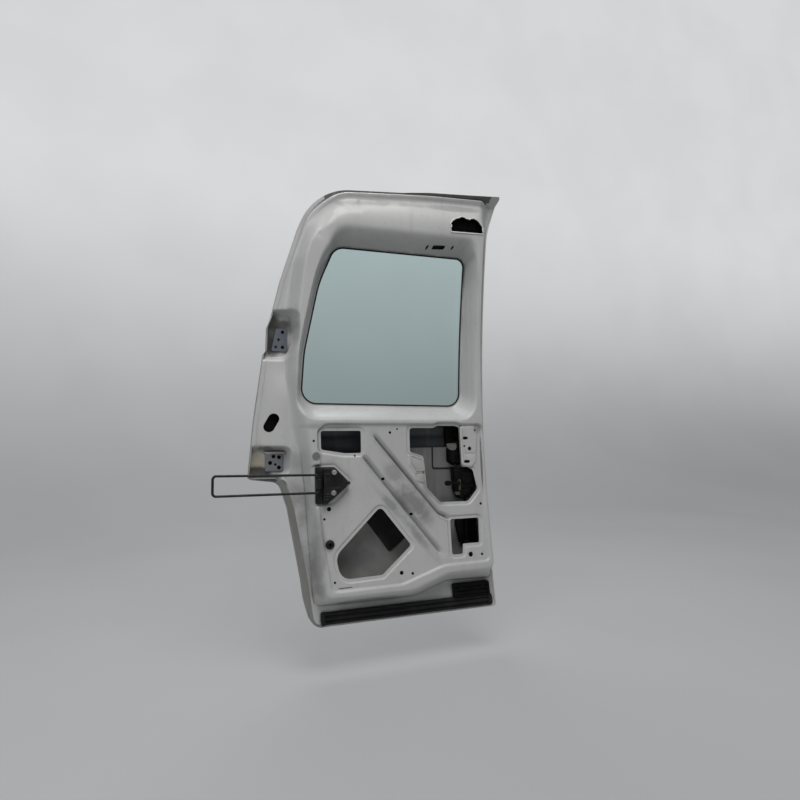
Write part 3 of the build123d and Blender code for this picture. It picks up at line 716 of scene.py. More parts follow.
LOCK_PLATE = [(493, 84, 8), (495, -25, 10), (526, -30, 8), (541, -14, 10), (548, 60, 20), (540, 86, 12)]
PLATE_RISE = 2.4
PLATE_EDGE = 4.0
PLATE_ROLL = 2.4
PLATE_ROLL_X = 497.0
PLATE_ROLL_WIDE = 3.0
PLATE_CREASE = 1.2
PLATE_CREASE_WIDE = 1.6
PLATE_CREASE_Z = 8.0
PLATE_CREASE_X = (502.0, 508.0)
PLATE_LINE_X = (500.0, 545.0)
PLATE_LINES = (-3, -1.5, 0, 1.5, 3)
PLATE_SLOTS = [((505, 51), (513, 51), 8.0), ((506, -13), (516, -13), 8.0)]
PLATE_HOLES = [(505, 29, 2.8), (521, 22, 5.5), (539, 73, 3.2)]
PLATE_INSETS = (1, 2, 3, 4, 5.5, 7)


def plate_y(points):
    """Y of the lock plate's inside face, rolled along the opening and creased across."""
    x, z = points.T
    h = H_FIELD + PLATE_RISE * smooth(inside_distance(points, rounded_loop(LOCK_PLATE)) / PLATE_EDGE)
    h += PLATE_ROLL * hump(x - PLATE_ROLL_X, PLATE_ROLL_WIDE)
    h -= PLATE_CREASE * hump(z - PLATE_CREASE_Z, PLATE_CREASE_WIDE) * rise(x, *PLATE_CREASE_X)
    return bow_y(h, z)


def lock_plate():
    cut = [slot_loop(*slot) for slot in PLATE_SLOTS] + [circle_loop(*hole) for hole in PLATE_HOLES]
    start, end = PLATE_LINE_X
    lines = [straight((start, PLATE_CREASE_Z + dz), (end, PLATE_CREASE_Z + dz)) for dz in PLATE_LINES]
    return small_sheet("lock_plate_sheet", LOCK_PLATE, cut, PLATE_INSETS, CUT_STEP, plate_y, lines)


LOWER_PAD = [(-24, -29, 4), (20, -29, 4), (20, 15, 4), (-24, 15, 4)]
PAD_EDGE = 1.6
PAD_INSETS = (1, 2, 4)


def pad_y(points):
    """Y of the lower hinge pad's face, with a rolled edge."""
    return PAD_EDGE * (1 - smooth(inside_distance(points, rounded_loop(LOWER_PAD)) / PAD_EDGE))


def hinge_pad():
    cut = [circle_loop(*hole) for hole in LOWER_PAD_HOLES]
    return small_sheet("lower_pad", LOWER_PAD, cut, PAD_INSETS, CUT_STEP, pad_y)


# Ends, Y and radius of the two beads over the lower pad.
LEDGE_BEADS = [((-27, 19), (26, 19), 1.8, 2.2), ((-24, 16.5), (24, 16.5), 2.0, 1.6)]


def pocket_ledge():
    """Folded ledge over the lower pad."""
    beads = [bead(straight(start, end), y, r, closed=False) for start, end, y, r in LEDGE_BEADS]
    return solid("pocket_ledge", beads)


SLOT_COVER = [(-40, 56, 6), (20, 56, 6), (20, 130, 6), (-40, 130, 6)]
NUT_PLATE = [(-26, -30, 4), (24, -30, 4), (24, 18, 4), (-26, 18, 4)]
COVER_BLOCKS = [(SLOT_COVER, 8, 4, 1.5), (NUT_PLATE, 12, 7, 1.5)]
COVER_RIB = ((-32, 4, 93), (12, 4, 93), 1.6)
COVER_RIM_INSET = 4.0
COVER_RIM_Y = 3.8
COVER_RIM_R = 1.2


def slot_cover():
    """Dark cover behind the hinge-side slot, with a raised rim and a rib, and the lower nut plate."""
    rim = bead(rounded_loop(SLOT_COVER, -COVER_RIM_INSET), COVER_RIM_Y, COVER_RIM_R)
    return solid("slot_cover", [*made_of(COVER_BLOCKS, [COVER_RIB]), rim])


# Black cups behind the small holes: painted shade inside the holes.
SHADE_CUPS_BELOW_Z = 500
SHADE_CUP_RIM = [(2.5, 8), (2.5, 3), (1.7, 2.2)]
SHADE_CUP_FLOOR = (1, 2.2)


def hole_shade_cups():
    """Black cups behind the small trim holes, standing in for the shade inside them."""
    holes = np.array([hole for hole in ROUND_HOLES if hole[1] < SHADE_CUPS_BELOW_Z])
    parts = []
    for (x, z, r), y in zip(holes, panel_y(holes[:, :2]) + SHEET):
        rim = [(r + wide, depth) for wide, depth in SHADE_CUP_RIM]
        parts.append(turned((x, z), [*rim, SHADE_CUP_FLOOR], y))
    return solid("hole_shade_cups", parts)


WINDOW_BEAD_R = 2.3
WINDOW_BEAD_INSET = 0.4


def window_bead():
    """Thin seal between the reveal's lip and the glass."""
    loop = rounded_loop(between(WINDOW, 1), -WINDOW_BEAD_INSET)
    return solid("window_bead", [bead(loop, bow_y(H_LIP, loop[:, 1]), WINDOW_BEAD_R)])


BRACKET_BASE = [(90, -18, 4), (138, -19, 7), (176, -58, 5), (166, -71, 5), (119, -110, 7), (90, -109, 5)]
BRACKET_BODY = [(107, -21, 4), (134, -21, 7), (170, -58, 6), (161, -69, 5), (115, -107, 7), (107, -107, 3)]
PIVOT_BLOCK = [(91, -46.5, 1), (91, -70, 1), (103, -70, 1), (103, -46.5, 1)]
BRACKET_SEAT_Y = -54.5
BRACKET_LOW_Y = -63.5
BRACKET_TOP_Y = -79.0
BRACKET_BLOCKS = [
    (BRACKET_BASE, BRACKET_SEAT_Y, BRACKET_LOW_Y, 1.5),
    (BRACKET_BODY, BRACKET_LOW_Y + 2, BRACKET_TOP_Y, 3.0),
    (PIVOT_BLOCK, -62, -73, 1),
]
PIVOT = ((97, -73, -70), (97, -73, -46.5), 7.0)
# Height and both ends in X of each ridge.
BRACKET_RIDGES = [(-84, 110, 127), (-90, 110, 125), (-97, 110, 119), (-70, 124, 152), (-35, 111, 121)]
RIDGE_R = 1.6
NIB = ((171, -58), [(4.5, -60), (4.5, -73), (3.8, -76), (2, -77.5)])
STAMPED_RING = ((150, -47), [(5, -78), (4.6, -80.2), (3.2, -80.6), (2.6, -79.6), (0.6, -79.6)])
BOLT_BOSS = [(9, -77), (9, -79.4), (8, -80.2), (6, -80.2)]
UPPER_BOLT = (133, -31)
LOWER_BOLT = (131.5, -81)
WASHER = [(6.3, 0), (6.3, -1), (5.9, -1.4), (3, -1.4)]
HEX_HEAD = [(5.0, -1), (5.0, -4), (4.3, -4.7), (2.2, -4.7), (1.6, -4.1)]
BOLT_SEAT_Y = BRACKET_TOP_Y - 1


def bracket():
    """Door check's bracket: plate, stepped body, ridges, bosses, nib and the pivot's barrel."""
    rods = [PIVOT]
    for z, low_x, high_x in BRACKET_RIDGES:
        rods.append(((low_x, BRACKET_TOP_Y, z), (high_x, BRACKET_TOP_Y, z), RIDGE_R))
    bosses = [(at, BOLT_BOSS) for at in (UPPER_BOLT, LOWER_BOLT)]
    return solid("bracket", made_of(BRACKET_BLOCKS, rods, [NIB, STAMPED_RING, *bosses]))


def bolt(name, at):
    """Hexagon bolt with a washer, a chamfer and a dimple."""
    parts = [turned(at, WASHER, BOLT_SEAT_Y), turned(at, HEX_HEAD, BOLT_SEAT_Y, count=6)]
    return solid(name, parts, BOLT_SHARP)


LATCH = [
    (478, -33, 5), (482, -88, 8), (493, -113, 6), (520, -113, 8), (538, -92, 10), (551, -60, 8),
    (551, -33, 5),
]
LATCH_TURRET = [(500, -40, 6), (498, -62, 6), (512, -76, 8), (530, -70, 8), (540, -46, 6)]
LATCH_STEP = [(500, -88, 4), (506, -106, 4), (520, -106, 5), (530, -90, 5)]
LATCH_BACK_Y = -17.5
LATCH_TOP_Y = -41.5
LATCH_BLOCKS = [
    (LATCH, LATCH_BACK_Y, LATCH_TOP_Y, 2.5),
    (LATCH_TURRET, LATCH_TOP_Y + 1, LATCH_TOP_Y - 2.6, 1.2),
    (LATCH_STEP, -40, -44, 1.5),
]
LATCH_ROD = ((488, -30, -20), (488, -34, -52), 3.0)
LATCH_SCREWS = [(505, -84), (533, -82), (543, -42)]
LATCH_SCREW = [(4, -41), (4, -43), (3.2, -43.8), (1.4, -43.8), (1.2, -43)]
LATCH_BAR = [(489, -62, 3), (489.5, -92, 3), (495.5, -92, 3), (496, -62, 3)]
LATCH_FOOT = [(478, -95, 3), (481, -104, 3), (494, -105, 3), (495, -95, 3)]
BAR_BLOCKS = [(LATCH_BAR, -40, -46.2, 1.2), (LATCH_FOOT, -40, -44.2, 1.2)]


def latch():
    """Latch case with a stepped cover, a rod and screws."""
    screws = [(at, LATCH_SCREW) for at in LATCH_SCREWS]
    return solid("latch", made_of(LATCH_BLOCKS, [LATCH_ROD], screws))


def latch_bars():
    """Bare steel bits of the latch."""
    return solid("latch_bars", made_of(BAR_BLOCKS))


LEVER = [
    (446, -64, 6), (446, -77, 6), (459, -78, 5), (466, -74, 5), (476, -74, 5), (492, -82, 5),
    (492, -64, 5), (476, -67.5, 5), (466, -67.5, 5), (459, -63.5, 5),
]
LEVER_DEPTHS = (-47.2, -50.0, 1.0)
LEVER_TIP = ((452, -70.5), [(5.5, -46.6), (5.5, -50.2), (4.6, -51), (1.5, -51)])
LEVER_HUB = ((486, -72), [(6, -47), (6, -51), (5, -52), (2.6, -52), (2.2, -51.2)])


def lever():
    """Release lever with a hooked tip and a hub."""
    arm = block(rounded_loop(LEVER, step=SMALL_STEP), *LEVER_DEPTHS)
    return solid("lever", [arm, *made_of(turnings=[LEVER_TIP, LEVER_HUB])])


# Dark block behind the corner opening: a stand-in for shade.
SHADE_BLOCK = [(500, -150, 6), (496, -190, 6), (506, -240, 6), (560, -240, 4), (560, -150, 4)]
SHADE_BLOCK_BACK = 2.0
SHADE_BLOCK_FRONT = 15.0
SHADE_BLOCK_EDGE = 3.0
LOCK_RODS = [((518, -24, -108), (522, -24, -236), 4.0), ((522, -24, -234), (526, -40, -340), 4.0)]
ROD_JOINT = ((522, -236), [(7, -16), (7, -29), (5.5, -30.5), (2, -30.5)])


def lock_rods_and_shade_block():
    """Lock rod down to the bolt guide, with a dark block behind the corner opening that stands in for shade
    there.
    """
    loop = rounded_loop(SHADE_BLOCK)
    skin = skin_y(loop[:, 1])
    # Painted shade: a dark block behind the corner opening.
    cover = block(loop, skin - SHADE_BLOCK_BACK, skin - SHADE_BLOCK_FRONT, SHADE_BLOCK_EDGE)
    return solid("lock_rods_and_shade_block", [cover, *made_of(rods=LOCK_RODS, turnings=[ROD_JOINT])])


CUP_GASKET = [(426, 26), (426, -27), (430, -31), (494, -32)]
GASKET_STEP = 3.0
GASKET_Y = -13.2
GASKET_R = 1.5
# The back block runs up to Z 84: its upper part is a painted shadow of the workings.
MECHANISM_AND_SHADE = [(468, 84, 4), (468, -14, 4), (486, -24, 6), (512, -24, 4), (512, 84, 4)]
MECHANISM_FRONT = [(470, 40, 5), (471, -10, 4), (488, -18, 6), (506, -16, 4), (506, 42, 4)]
MECHANISM_AND_SHADE_BLOCKS = [(MECHANISM_AND_SHADE, 14, -14, 2.0), (MECHANISM_FRONT, -13, -34, 2.5)]
MECHANISM_RODS = [((478, -36, -16), (478, -36, 16), 4.0), ((472, -30, 6), (504, -30, 6), 5.0)]
MECHANISM_HUB = ((496, 62), [(9, -13), (9, -20), (7.5, -22), (4, -22), (3.4, -20)])
SILVER_BIT = [(460, 36, 3), (461, 26, 6), (470, 18.5, 6), (484, 18, 5), (489, 26, 3), (488, 36, 3)]
SILVER_DEPTHS = (-30, -36.5, 1.5)
SILVER_RIM_INSET = 1.0
SILVER_RIM_Y = -36.6
SILVER_RIM_R = 1.2


def handle_back():
    """Black workings of the outside handle behind the lock opening; the back block reaches up to Z 84 as a
    dark stand-in for their shadow.
    """
    run = np.vstack([straight(a, b, GASKET_STEP) for a, b in zip(CUP_GASKET, CUP_GASKET[1:])])
    run = run[np.append(True, np.any(np.diff(run, axis=0), axis=1))]
    gasket = bead(run, GASKET_Y, GASKET_R, closed=False)
    return solid("handle_back", [gasket, *made_of(MECHANISM_AND_SHADE_BLOCKS, MECHANISM_RODS, [MECHANISM_HUB])])


def silver_bit():
    """Bare end of the handle's lever, with a rolled rim."""
    plate = block(rounded_loop(SILVER_BIT, step=SMALL_STEP), *SILVER_DEPTHS)
    rim = bead(rounded_loop(SILVER_BIT, -SILVER_RIM_INSET, SMALL_STEP), SILVER_RIM_Y, SILVER_RIM_R)
    return solid("silver_bit", [plate, rim])


BACKING = [(334, 26, 4), (344, -72, 10), (400, -130, 10), (520, -130, 8), (520, 26, 4)]
BACKING_Y = -12.0
BACKING_LEAN = 0.004
BACKING_LEAN_Z = -50.0
BACKING_INSETS = (4, 10, 18)
BACKING_STEP = 8.0
SWAGE_AT = (410, -80)
SWAGE_TALL = 1.4
SWAGE_DEEP = 2.0
SWAGE_R = (34, 10)


def backing_y(points):
    """Y of the reinforcement behind the lock opening, with a shallow swage."""
    x, z = points.T
    away = np.hypot(x - SWAGE_AT[0], (z - SWAGE_AT[1]) / SWAGE_TALL)
    return BACKING_Y + SWAGE_DEEP * rise(away, *SWAGE_R) + BACKING_LEAN * (z - BACKING_LEAN_Z)


def backing():
    return small_sheet("lock_backing", BACKING, [], BACKING_INSETS, BACKING_STEP, backing_y)


LOCK_AT = (456, -56)
LOCK_RING = [(9, -4), (9, 0), (11, 0), (11, 1.4), (10.2, 2), (7.6, 2), (7.2, 1), (2, 1)]
KEYWAY_HALF = 3.5
KEYWAY_WIDE = 2.0
KEYWAY_DEPTHS = (1.6, -1)
KEYWAY_EDGE = 0.3


def key_lock():
    """Outside lock: flange, recessed face and keyway."""
    x, z = LOCK_AT
    face = bow_y(H_SKIN, z)
    back, front = KEYWAY_DEPTHS
    keyway = slot_loop((x, z - KEYWAY_HALF), (x, z + KEYWAY_HALF), KEYWAY_WIDE)
    key = block(keyway, face + back, face + front, KEYWAY_EDGE)
    return solid("key_lock", [turned(LOCK_AT, LOCK_RING, face), key])


BEAM_X = np.linspace(84, 474, 40)
BEAM_SECTION = [
    (90, -28), (89, -11), (86, -8), (70, -8), (66, -10.5), (56, -10.5), (52, -8), (24, -8), (19, -11),
    (12, -28),
]


def beam():
    return solid("beam", [carried(BEAM_X, BEAM_SECTION)])


POCKET_BOX = [(440, 606, 4), (562, 608, 4), (562, 668, 4), (440, 664, 4)]
POCKET_LAYERS = (2, 24)
POCKET_EDGE = 2.0
SLOT_BOX = [(391, 569, 3), (485, 571, 3), (485, 589, 3), (391, 587, 3)]
SLOT_BOX_BEHIND = 7.0
SLOT_BOX_THICK = 4.0
SLOT_BOX_EDGE = 1.0
LEVEL_RIBS_Z = (618, 632, 646)
LEVEL_RIBS_X = (450, 552)
LEVEL_RIBS_LEAN = 3
LEVEL_RIBS_R = 2.5
UPRIGHT_RIBS_X = (476, 508, 538)
UPRIGHT_RIBS_Z = (612, 658)
UPRIGHT_RIBS_H = 25
UPRIGHT_RIBS_R = 2.0


def latch_pocket():
    """Dark box behind the torn opening, with a stepped floor and ribs, and one behind the small slots."""
    low = rounded_loop(SLOT_BOX)
    front = panel_y(low) + SLOT_BOX_BEHIND
    parts = [
        bowed_block(POCKET_BOX, *POCKET_LAYERS, POCKET_EDGE),
        block(low, front + SLOT_BOX_THICK, front, SLOT_BOX_EDGE),
    ]
    start, end = LEVEL_RIBS_X
    for z in LEVEL_RIBS_Z:
        y = bow_y(POCKET_LAYERS[1], z)
        parts.append(rod((start, y, z), (end, y, z + LEVEL_RIBS_LEAN), LEVEL_RIBS_R))
    for x in UPRIGHT_RIBS_X:
        low_end, high_end = ((x, bow_y(UPRIGHT_RIBS_H, z), z) for z in UPRIGHT_RIBS_Z)
        parts.append(rod(low_end, high_end, UPRIGHT_RIBS_R))
    return solid("latch_pocket", parts)


FRINGE_SEED = 7
FRINGE_SHAKE = 1.5
FRINGE_FROM_Z = 624
FRINGE_GROW = 0.8
FRINGE_GAP = 20.0
FRINGE_PROUD = 0.3
FRINGE_R = 1.7
# The lip's pale bead is a painted highlight.
TORN_LIP = [(457, 612.5), (557, 617.5)]


def torn_fringe():
    """Ragged pale edge of the torn opening, and the straight lip below it, painted pale as a highlight along
    the lip.
    """
    shake = random.Random(FRINGE_SEED)
    loop = rounded_loop(TORN_HOLE, FRINGE_GROW, SMALL_STEP)
    ragged = loop[loop[:, 1] > FRINGE_FROM_Z]
    start = np.argmax(np.linalg.norm(np.diff(ragged, axis=0), axis=1)) + 1
    if np.linalg.norm(ragged[0] - ragged[-1]) < FRINGE_GAP:
        ragged = np.roll(ragged, -start, axis=0)
    ragged = ragged + FRINGE_SHAKE * np.array([(shake.uniform(-1, 1), shake.uniform(-1, 1)) for _ in ragged])
    runs = (ragged, straight(*TORN_LIP))
    beads = [bead(run, panel_y(run) - FRINGE_PROUD, FRINGE_R, closed=False) for run in runs]
    return solid("torn_fringe", beads)


STRIP_X = np.linspace(108, 572, 60)
STRIP_SECTION = [
    (-371, 0), (-371, 6), (-373, 8), (-377, 8), (-379, 4), (-382, 4), (-384, 8), (-388, 8), (-390, 3.5),
    (-393, 3.5), (-394.5, 6.5), (-397.5, 6.5), (-398.5, 5), (-398.5, 0),
]
STRIP_END = [(104, -370, 4), (104, -399, 4), (114, -399, 4), (114, -370, 4)]
STRIP_TIP = [(562, -372, 3), (562, -397, 3), (574, -396, 4), (574, -374, 4)]
# Outline, both layers and edge of the strip's ends.
STRIP_BLOCKS = [(STRIP_END, -0.5, 9.5, 2.0), (STRIP_TIP, -0.5, 9.0, 2.0)]
GUIDE_X = np.linspace(463, 565, 14)
GUIDE_SECTION = [
    (-337, 0), (-337, 10), (-339, 12), (-344, 12), (-346, 9), (-348, 9), (-350, 12), (-353, 12), (-355, 8.5),
    (-357, 8.5), (-359, 12), (-363, 12), (-365, 9), (-367, 9), (-369, 11), (-370.4, 11), (-370.4, 0),
]
CHEEKS_X = (461, 561)
CHEEK_WIDE = 6
CHEEK_Z = (-370.4, -337)
CHEEK_LAYERS = (0, 13)
CHEEK_EDGE = 1.5
GUIDE_SCREWS_X = (482, 545)
GUIDE_SCREWS_Z = -348
GUIDE_SCREWS_H = 12
GUIDE_SCREW = [(5, 4), (5, -1), (4, -1.8), (1.8, -1.8), (1.4, -1)]


def bottom_strip():
    """Ribbed sealing strip with folded ends."""
    ends = [bowed_block(*end) for end in STRIP_BLOCKS]
    return solid("ribbed_strip", [carried(STRIP_X, STRIP_SECTION), *ends])


def guide():
    """Ribbed guide over the strip's lock end, with end cheeks and screws."""
    parts = [carried(GUIDE_X, GUIDE_SECTION)]
    low, high = CHEEK_Z
    for x in CHEEKS_X:
        far_x = x + CHEEK_WIDE
        cheek = [(x, high, 3), (x, low, 2), (far_x, low, 2), (far_x, high, 3)]
        parts.append(bowed_block(cheek, *CHEEK_LAYERS, CHEEK_EDGE))
    y = bow_y(GUIDE_SCREWS_H, GUIDE_SCREWS_Z)
    parts += [turned((x, GUIDE_SCREWS_Z), GUIDE_SCREW, y) for x in GUIDE_SCREWS_X]
    return solid("ribbed_guide", parts)


SEAL_Z = (-392.0, 690.0)
SEAL_FROM_X = LOCK_X - 30
SEAL_INSET = 3.0
SEAL_PROUD = 0.6
SEAL_R = 1.8


def edge_seal():
    """Narrow seal along the lock edge, on the flange."""
    loop = rounded_loop(DOOR, -SEAL_INSET)
    side = loop[(loop[:, 0] > SEAL_FROM_X) & (loop[:, 1] > SEAL_Z[0]) & (loop[:, 1] < SEAL_Z[1])]
    side = side[np.argsort(side[:, 1])]
    return solid("edge_seal", [bead(side, panel_y(side) - SEAL_PROUD, SEAL_R, closed=False)])


FOLD_WIDE = 10.0
FOLD_LEAST = 0.3
FOLD_START = 110.0
FOLD_START_SHARE = 0.3
FOLD_END = 90.0
FOLD_LIP = 0.8
FOLD_ROOT = -4
FOLD_EASE = 2.0
FOLD_BELOW_Z = -45.9
FOLD_X = (-62, 112)


def edge_fold():
    """Folded edge round the hinge side below the lower pocket, from the flange back to the skin."""
    loop = rounded_loop(DOOR)
    keep = (loop[:, 1] < FOLD_BELOW_Z) & (loop[:, 0] > FOLD_X[0]) & (loop[:, 0] < FOLD_X[1])
    run = loop[keep]
    out = side_normals(loop)[keep]
    steps = np.append(0, np.cumsum(np.linalg.norm(np.diff(run, axis=0), axis=1)))
    taper = smooth(steps / FOLD_START + FOLD_START_SHARE) * smooth((steps[-1] - steps) / FOLD_END)
    wide = FOLD_WIDE * taper + FOLD_LEAST
    front = panel_y(run) - FOLD_LIP
    back = skin_y(run[:, 1]) - FOLD_LIP
    rings = []
    for point, normal, w, near, far in zip(run, out, wide, front, back):
        ease = min(FOLD_EASE, w / 2)
        section = [(FOLD_ROOT, near), (w - ease, near), (w, near + ease)]
        section += [(w, far - ease), (w - ease, far), (FOLD_ROOT, far)]
        ring = [(point[0] + normal[0] * o, y, point[1] + normal[1] * o) for o, y in section]
        rings.append(np.array(ring))
    return solid("edge_fold", [joined_rings(rings)])


HEM_X = np.linspace(112, 586, 90)
HEM_DEPTHS = (0.6, 3.0, 6.0, 9.0, 11.5)
HEM_PROUD = 0.9
HEM_THICK = 0.7


def top_hem():
    """Folded hem under the top edge, painted dark as the shade under the skin's curl, with grime."""
    edge = np.column_stack((HEM_X, top_z(HEM_X)))
    out = side_normals(edge, closed=False)
    out *= np.sign(out[:, 1])[:, None]
    lines = [edge - out * depth for depth in HEM_DEPTHS]
    near = [np.column_stack((line[:, 0], panel_y(line) - HEM_PROUD, line[:, 1])) for line in lines]
    far = [line + (0, HEM_THICK, 0) for line in reversed(near)]
    return solid("top_hem", [joined_rings(list(np.stack(near + far, axis=1)))])


PLUG_AT = (93, 9)
PLUG_CAP = [(9.5, 0), (9.5, -1.2), (8.8, -2), (7.2, -2), (6.6, -1.4), (1, -1.7)]
PLUG_SLOT = ((90, 9), (96, 9), 1.6)
PLUG_SLOT_DEPTHS = (1.2, 2.2)
PLUG_SLOT_EDGE = 0.3
BUFFER_AT = (124, -207)
BUFFER = [(11, 0), (11, -1.4), (9.6, -2.4), (9, -5), (7.4, -6.6), (4.8, -7), (4, -6), (3.6, -1)]


def plug():
    """Low cap with a pressed rim and a slot."""
    y = bow_y(H_FACE, PLUG_AT[1])
    back, front = PLUG_SLOT_DEPTHS
    slot = block(slot_loop(*PLUG_SLOT), y - back, y - front, PLUG_SLOT_EDGE)
    return solid("plug", [turned(PLUG_AT, PLUG_CAP, y), slot])


def buffer():
    """Rubber stop with a rolled foot, a dome and a hole."""
    return solid("buffer", [turned(BUFFER_AT, BUFFER, bow_y(H_FIELD, BUFFER_AT[1]))])


CLIP_TAB = [(343, 13, 4), (362, 5, 4), (383, -3, 4), (386, -36, 4), (361, -39, 5), (345, -15, 6)]
CLIP_FOOT = [(359, -43, 3), (360, -62, 3), (381, -66, 3), (383, -42, 3)]
# Outline, thickness and edge of the clip's plates.
CLIP_PLATES = [(CLIP_TAB, 4.2, 1.2), (CLIP_FOOT, 2.4, 1.0)]
CLIP_BACK_H = H_FIELD - 1
CLIP_RIM_H = H_FIELD + 3.4
CLIP_RIM_INSET = 4.0
CLIP_RIM_R = 1.2
CLIP_STUD = ((365, -14), [(5, -49), (5, -54), (4, -55), (2.4, -55), (2, -52)])


def clip_tab():
    """Remains of a trim clip beside the lock opening."""
    rim = rounded_loop(CLIP_TAB, -CLIP_RIM_INSET)
    parts = [bead(rim, bow_y(CLIP_RIM_H, rim[:, 1]), CLIP_RIM_R), turned(*CLIP_STUD)]
    for corners, thick, edge in CLIP_PLATES:
        loop = rounded_loop(corners)
        back = bow_y(CLIP_BACK_H, loop[:, 1])
        parts.append(block(loop, back, back - thick, edge))
    return solid("clip_tab", parts)


# Materials


def feed(tree, node, inputs):
    """Links outputs to a node's inputs, or sets the inputs' own values."""
    for name, value in inputs.items():
        socket = node.inputs[name]
        if isinstance(value, bpy.types.NodeSocket):
            tree.links.new(value, socket)
        elif socket.type == "RGBA":
            socket.default_value = (*value, 1)
        else:
            socket.default_value = value


def add_node(tree, kind, inputs, **settings):
    """New shader node with its settings made and its inputs fed."""
    node = tree.nodes.new("ShaderNode" + kind)
    for name, value in settings.items():
        setattr(node, name, value)
    feed(tree, node, inputs)
    return node


def material(name, color, roughness, metallic=0.0):
    """New node material and its shader."""
    made = bpy.data.materials.new(name)
    made.use_nodes = True
    shader = made.node_tree.nodes["Principled BSDF"]
    feed(made.node_tree, shader, {"Base Color": color, "Roughness": roughness, "Metallic": metallic})
    return made, made.node_tree, shader


def mapped(tree, inputs, kind="POINT"):
    """Object coordinates, moved and stretched."""
    source = add_node(tree, "TexCoord", {})
    inputs = {"Vector": source.outputs["Object"], **inputs}
    return add_node(tree, "Mapping", inputs, vector_type=kind).outputs["Vector"]


def noise(tree, scale, detail=4.0, stretch=(1, 1, 1), roughness=0.55):
    place = mapped(tree, {"Scale": stretch})
    inputs = {"Vector": place, "Scale": scale, "Detail": detail, "Roughness": roughness}
    return add_node(tree, "TexNoise", inputs).outputs["Fac"]


def ramp(tree, value, low, high, start=0.0, end=1.0):
    """Value spread from low..high to start..end, smooth at both ends."""
    inputs = {"Value": value, "From Min": low, "From Max": high, "To Min": start, "To Max": end}
    return add_node(tree, "MapRange", inputs, interpolation_type="SMOOTHSTEP").outputs["Result"]


def tint(tree, amount, base, color):
    """Base colour mixed towards another colour by amount."""
    return add_node(tree, "Mix", {0: amount, 6: base, 7: color}, data_type="RGBA").outputs[2]


def coat(tree, base, pattern, low, high, strength, color):
    """Base colour tinted where a pattern rises from low to high."""
    return tint(tree, ramp(tree, pattern, low, high, 0, strength), base, color)


def math_node(tree, kind, a, b):
    return add_node(tree, "Math", {0: a, 1: b}, operation=kind).outputs["Value"]


def crevice(tree, distance):
    """1 in corners, 0 on open faces."""
    node = add_node(tree, "AmbientOcclusion", {"Distance": distance}, samples=8)
    return math_node(tree, "SUBTRACT", 1.0, node.outputs["AO"])


def bump(tree, shader, height, distance, strength):
    node = add_node(tree, "Bump", {"Strength": strength, "Distance": distance, "Height": height})
    feed(tree, shader, {"Normal": node.outputs["Normal"]})


SPOT_DEEP = 1000.0


def spot(tree, at, size, lean):
    """1 at a place on the door's face, fading to 0 at its edge; leant towards the floor by degrees."""
    inputs = {
        "Location": (at[0] * MM, 0, at[1] * MM),
        "Rotation": (0, math.radians(lean), 0),
        "Scale": (size[0] * MM, SPOT_DEEP, size[1] * MM),
    }
    length = add_node(tree, "VectorMath", {0: mapped(tree, inputs, "TEXTURE")}, operation="LENGTH")
    return ramp(tree, length.outputs["Value"], 0.0, 1.0, 1.0, 0.0)


# Direction of the faces that get the primer and its painted shade.
INWARDS_AND_SHADED = (-0.6, -0.6, -0.5)


def inner_and_shaded_faces(tree):
    """1 on faces that look into the door, to the hinge side or down, 0 on the others: primer inside, and
    painted shade on the sides that look to the hinge or down.
    """
    normal = add_node(tree, "TexCoord", {}).outputs["Normal"]
    node = add_node(tree, "VectorMath", {0: normal, 1: INWARDS_AND_SHADED}, operation="DOT_PRODUCT")
    return ramp(tree, node.outputs["Value"], 0.2, 0.4)


PAINT = (0.5, 0.502, 0.5)
RUN_MARK = (0.36, 0.355, 0.34)
SPECK = (0.2, 0.195, 0.18)
# Dirt with painted shade in corners, and painted shade along tight creases.
CORNER_DIRT_AND_SHADE = (0.12, 0.115, 0.105)
CORNER_PAINTED_SHADE = (0.07, 0.066, 0.06)
# Dark primer, which also serves as painted shade on faces that look to the hinge side or down.
PRIMER_AND_SHADE = (0.36, 0.354, 0.34)
PRIMER_AND_SHADE_DARK = (0.2, 0.2, 0.202)


def paint_shade(tree, color, dirt_and_shade):
    """Aged white paint with dust, run marks and specks, dirt and painted shade in its corners, and painted
    shade along its tight creases.
    """
    dull = tuple(0.84 * c for c in color)
    shade = coat(tree, color, noise(tree, 5.0), 0.35, 0.75, 0.6, dull)
    runs = noise(tree, 9.0, 5.0, (6, 6, 0.5))
    shade = coat(tree, shade, runs, 0.5, 0.8, 0.35 * dirt_and_shade, RUN_MARK)
    shade = coat(tree, shade, noise(tree, 160.0, 3.0), 0.64, 0.76, 0.45 * dirt_and_shade, SPECK)
    # Dirt and painted shade in corners: darker where the surface is occluded, broken up by noise.
    corner = math_node(tree, "MULTIPLY", crevice(tree, 0.016), noise(tree, 14.0, 5.0))
    shade = coat(tree, shade, corner, 0.1, 0.36, 0.6 * dirt_and_shade, CORNER_DIRT_AND_SHADE)
    # Painted shade: thin dark lines wherever the surface is occluded.
    return coat(tree, shade, crevice(tree, 0.009), 0.15, 0.42, 0.7 * dirt_and_shade, CORNER_PAINTED_SHADE)


def paint_finish(tree, shader, shade):
    spread = ramp(tree, noise(tree, 22.0), 0.3, 0.7, 0.46, 0.62)
    feed(tree, shader, {"Base Color": shade, "Roughness": spread, "Coat Weight": 0.25, "Coat Roughness": 0.2})
    bump(tree, shader, noise(tree, 420.0, 2.0), 0.00012, 0.2)


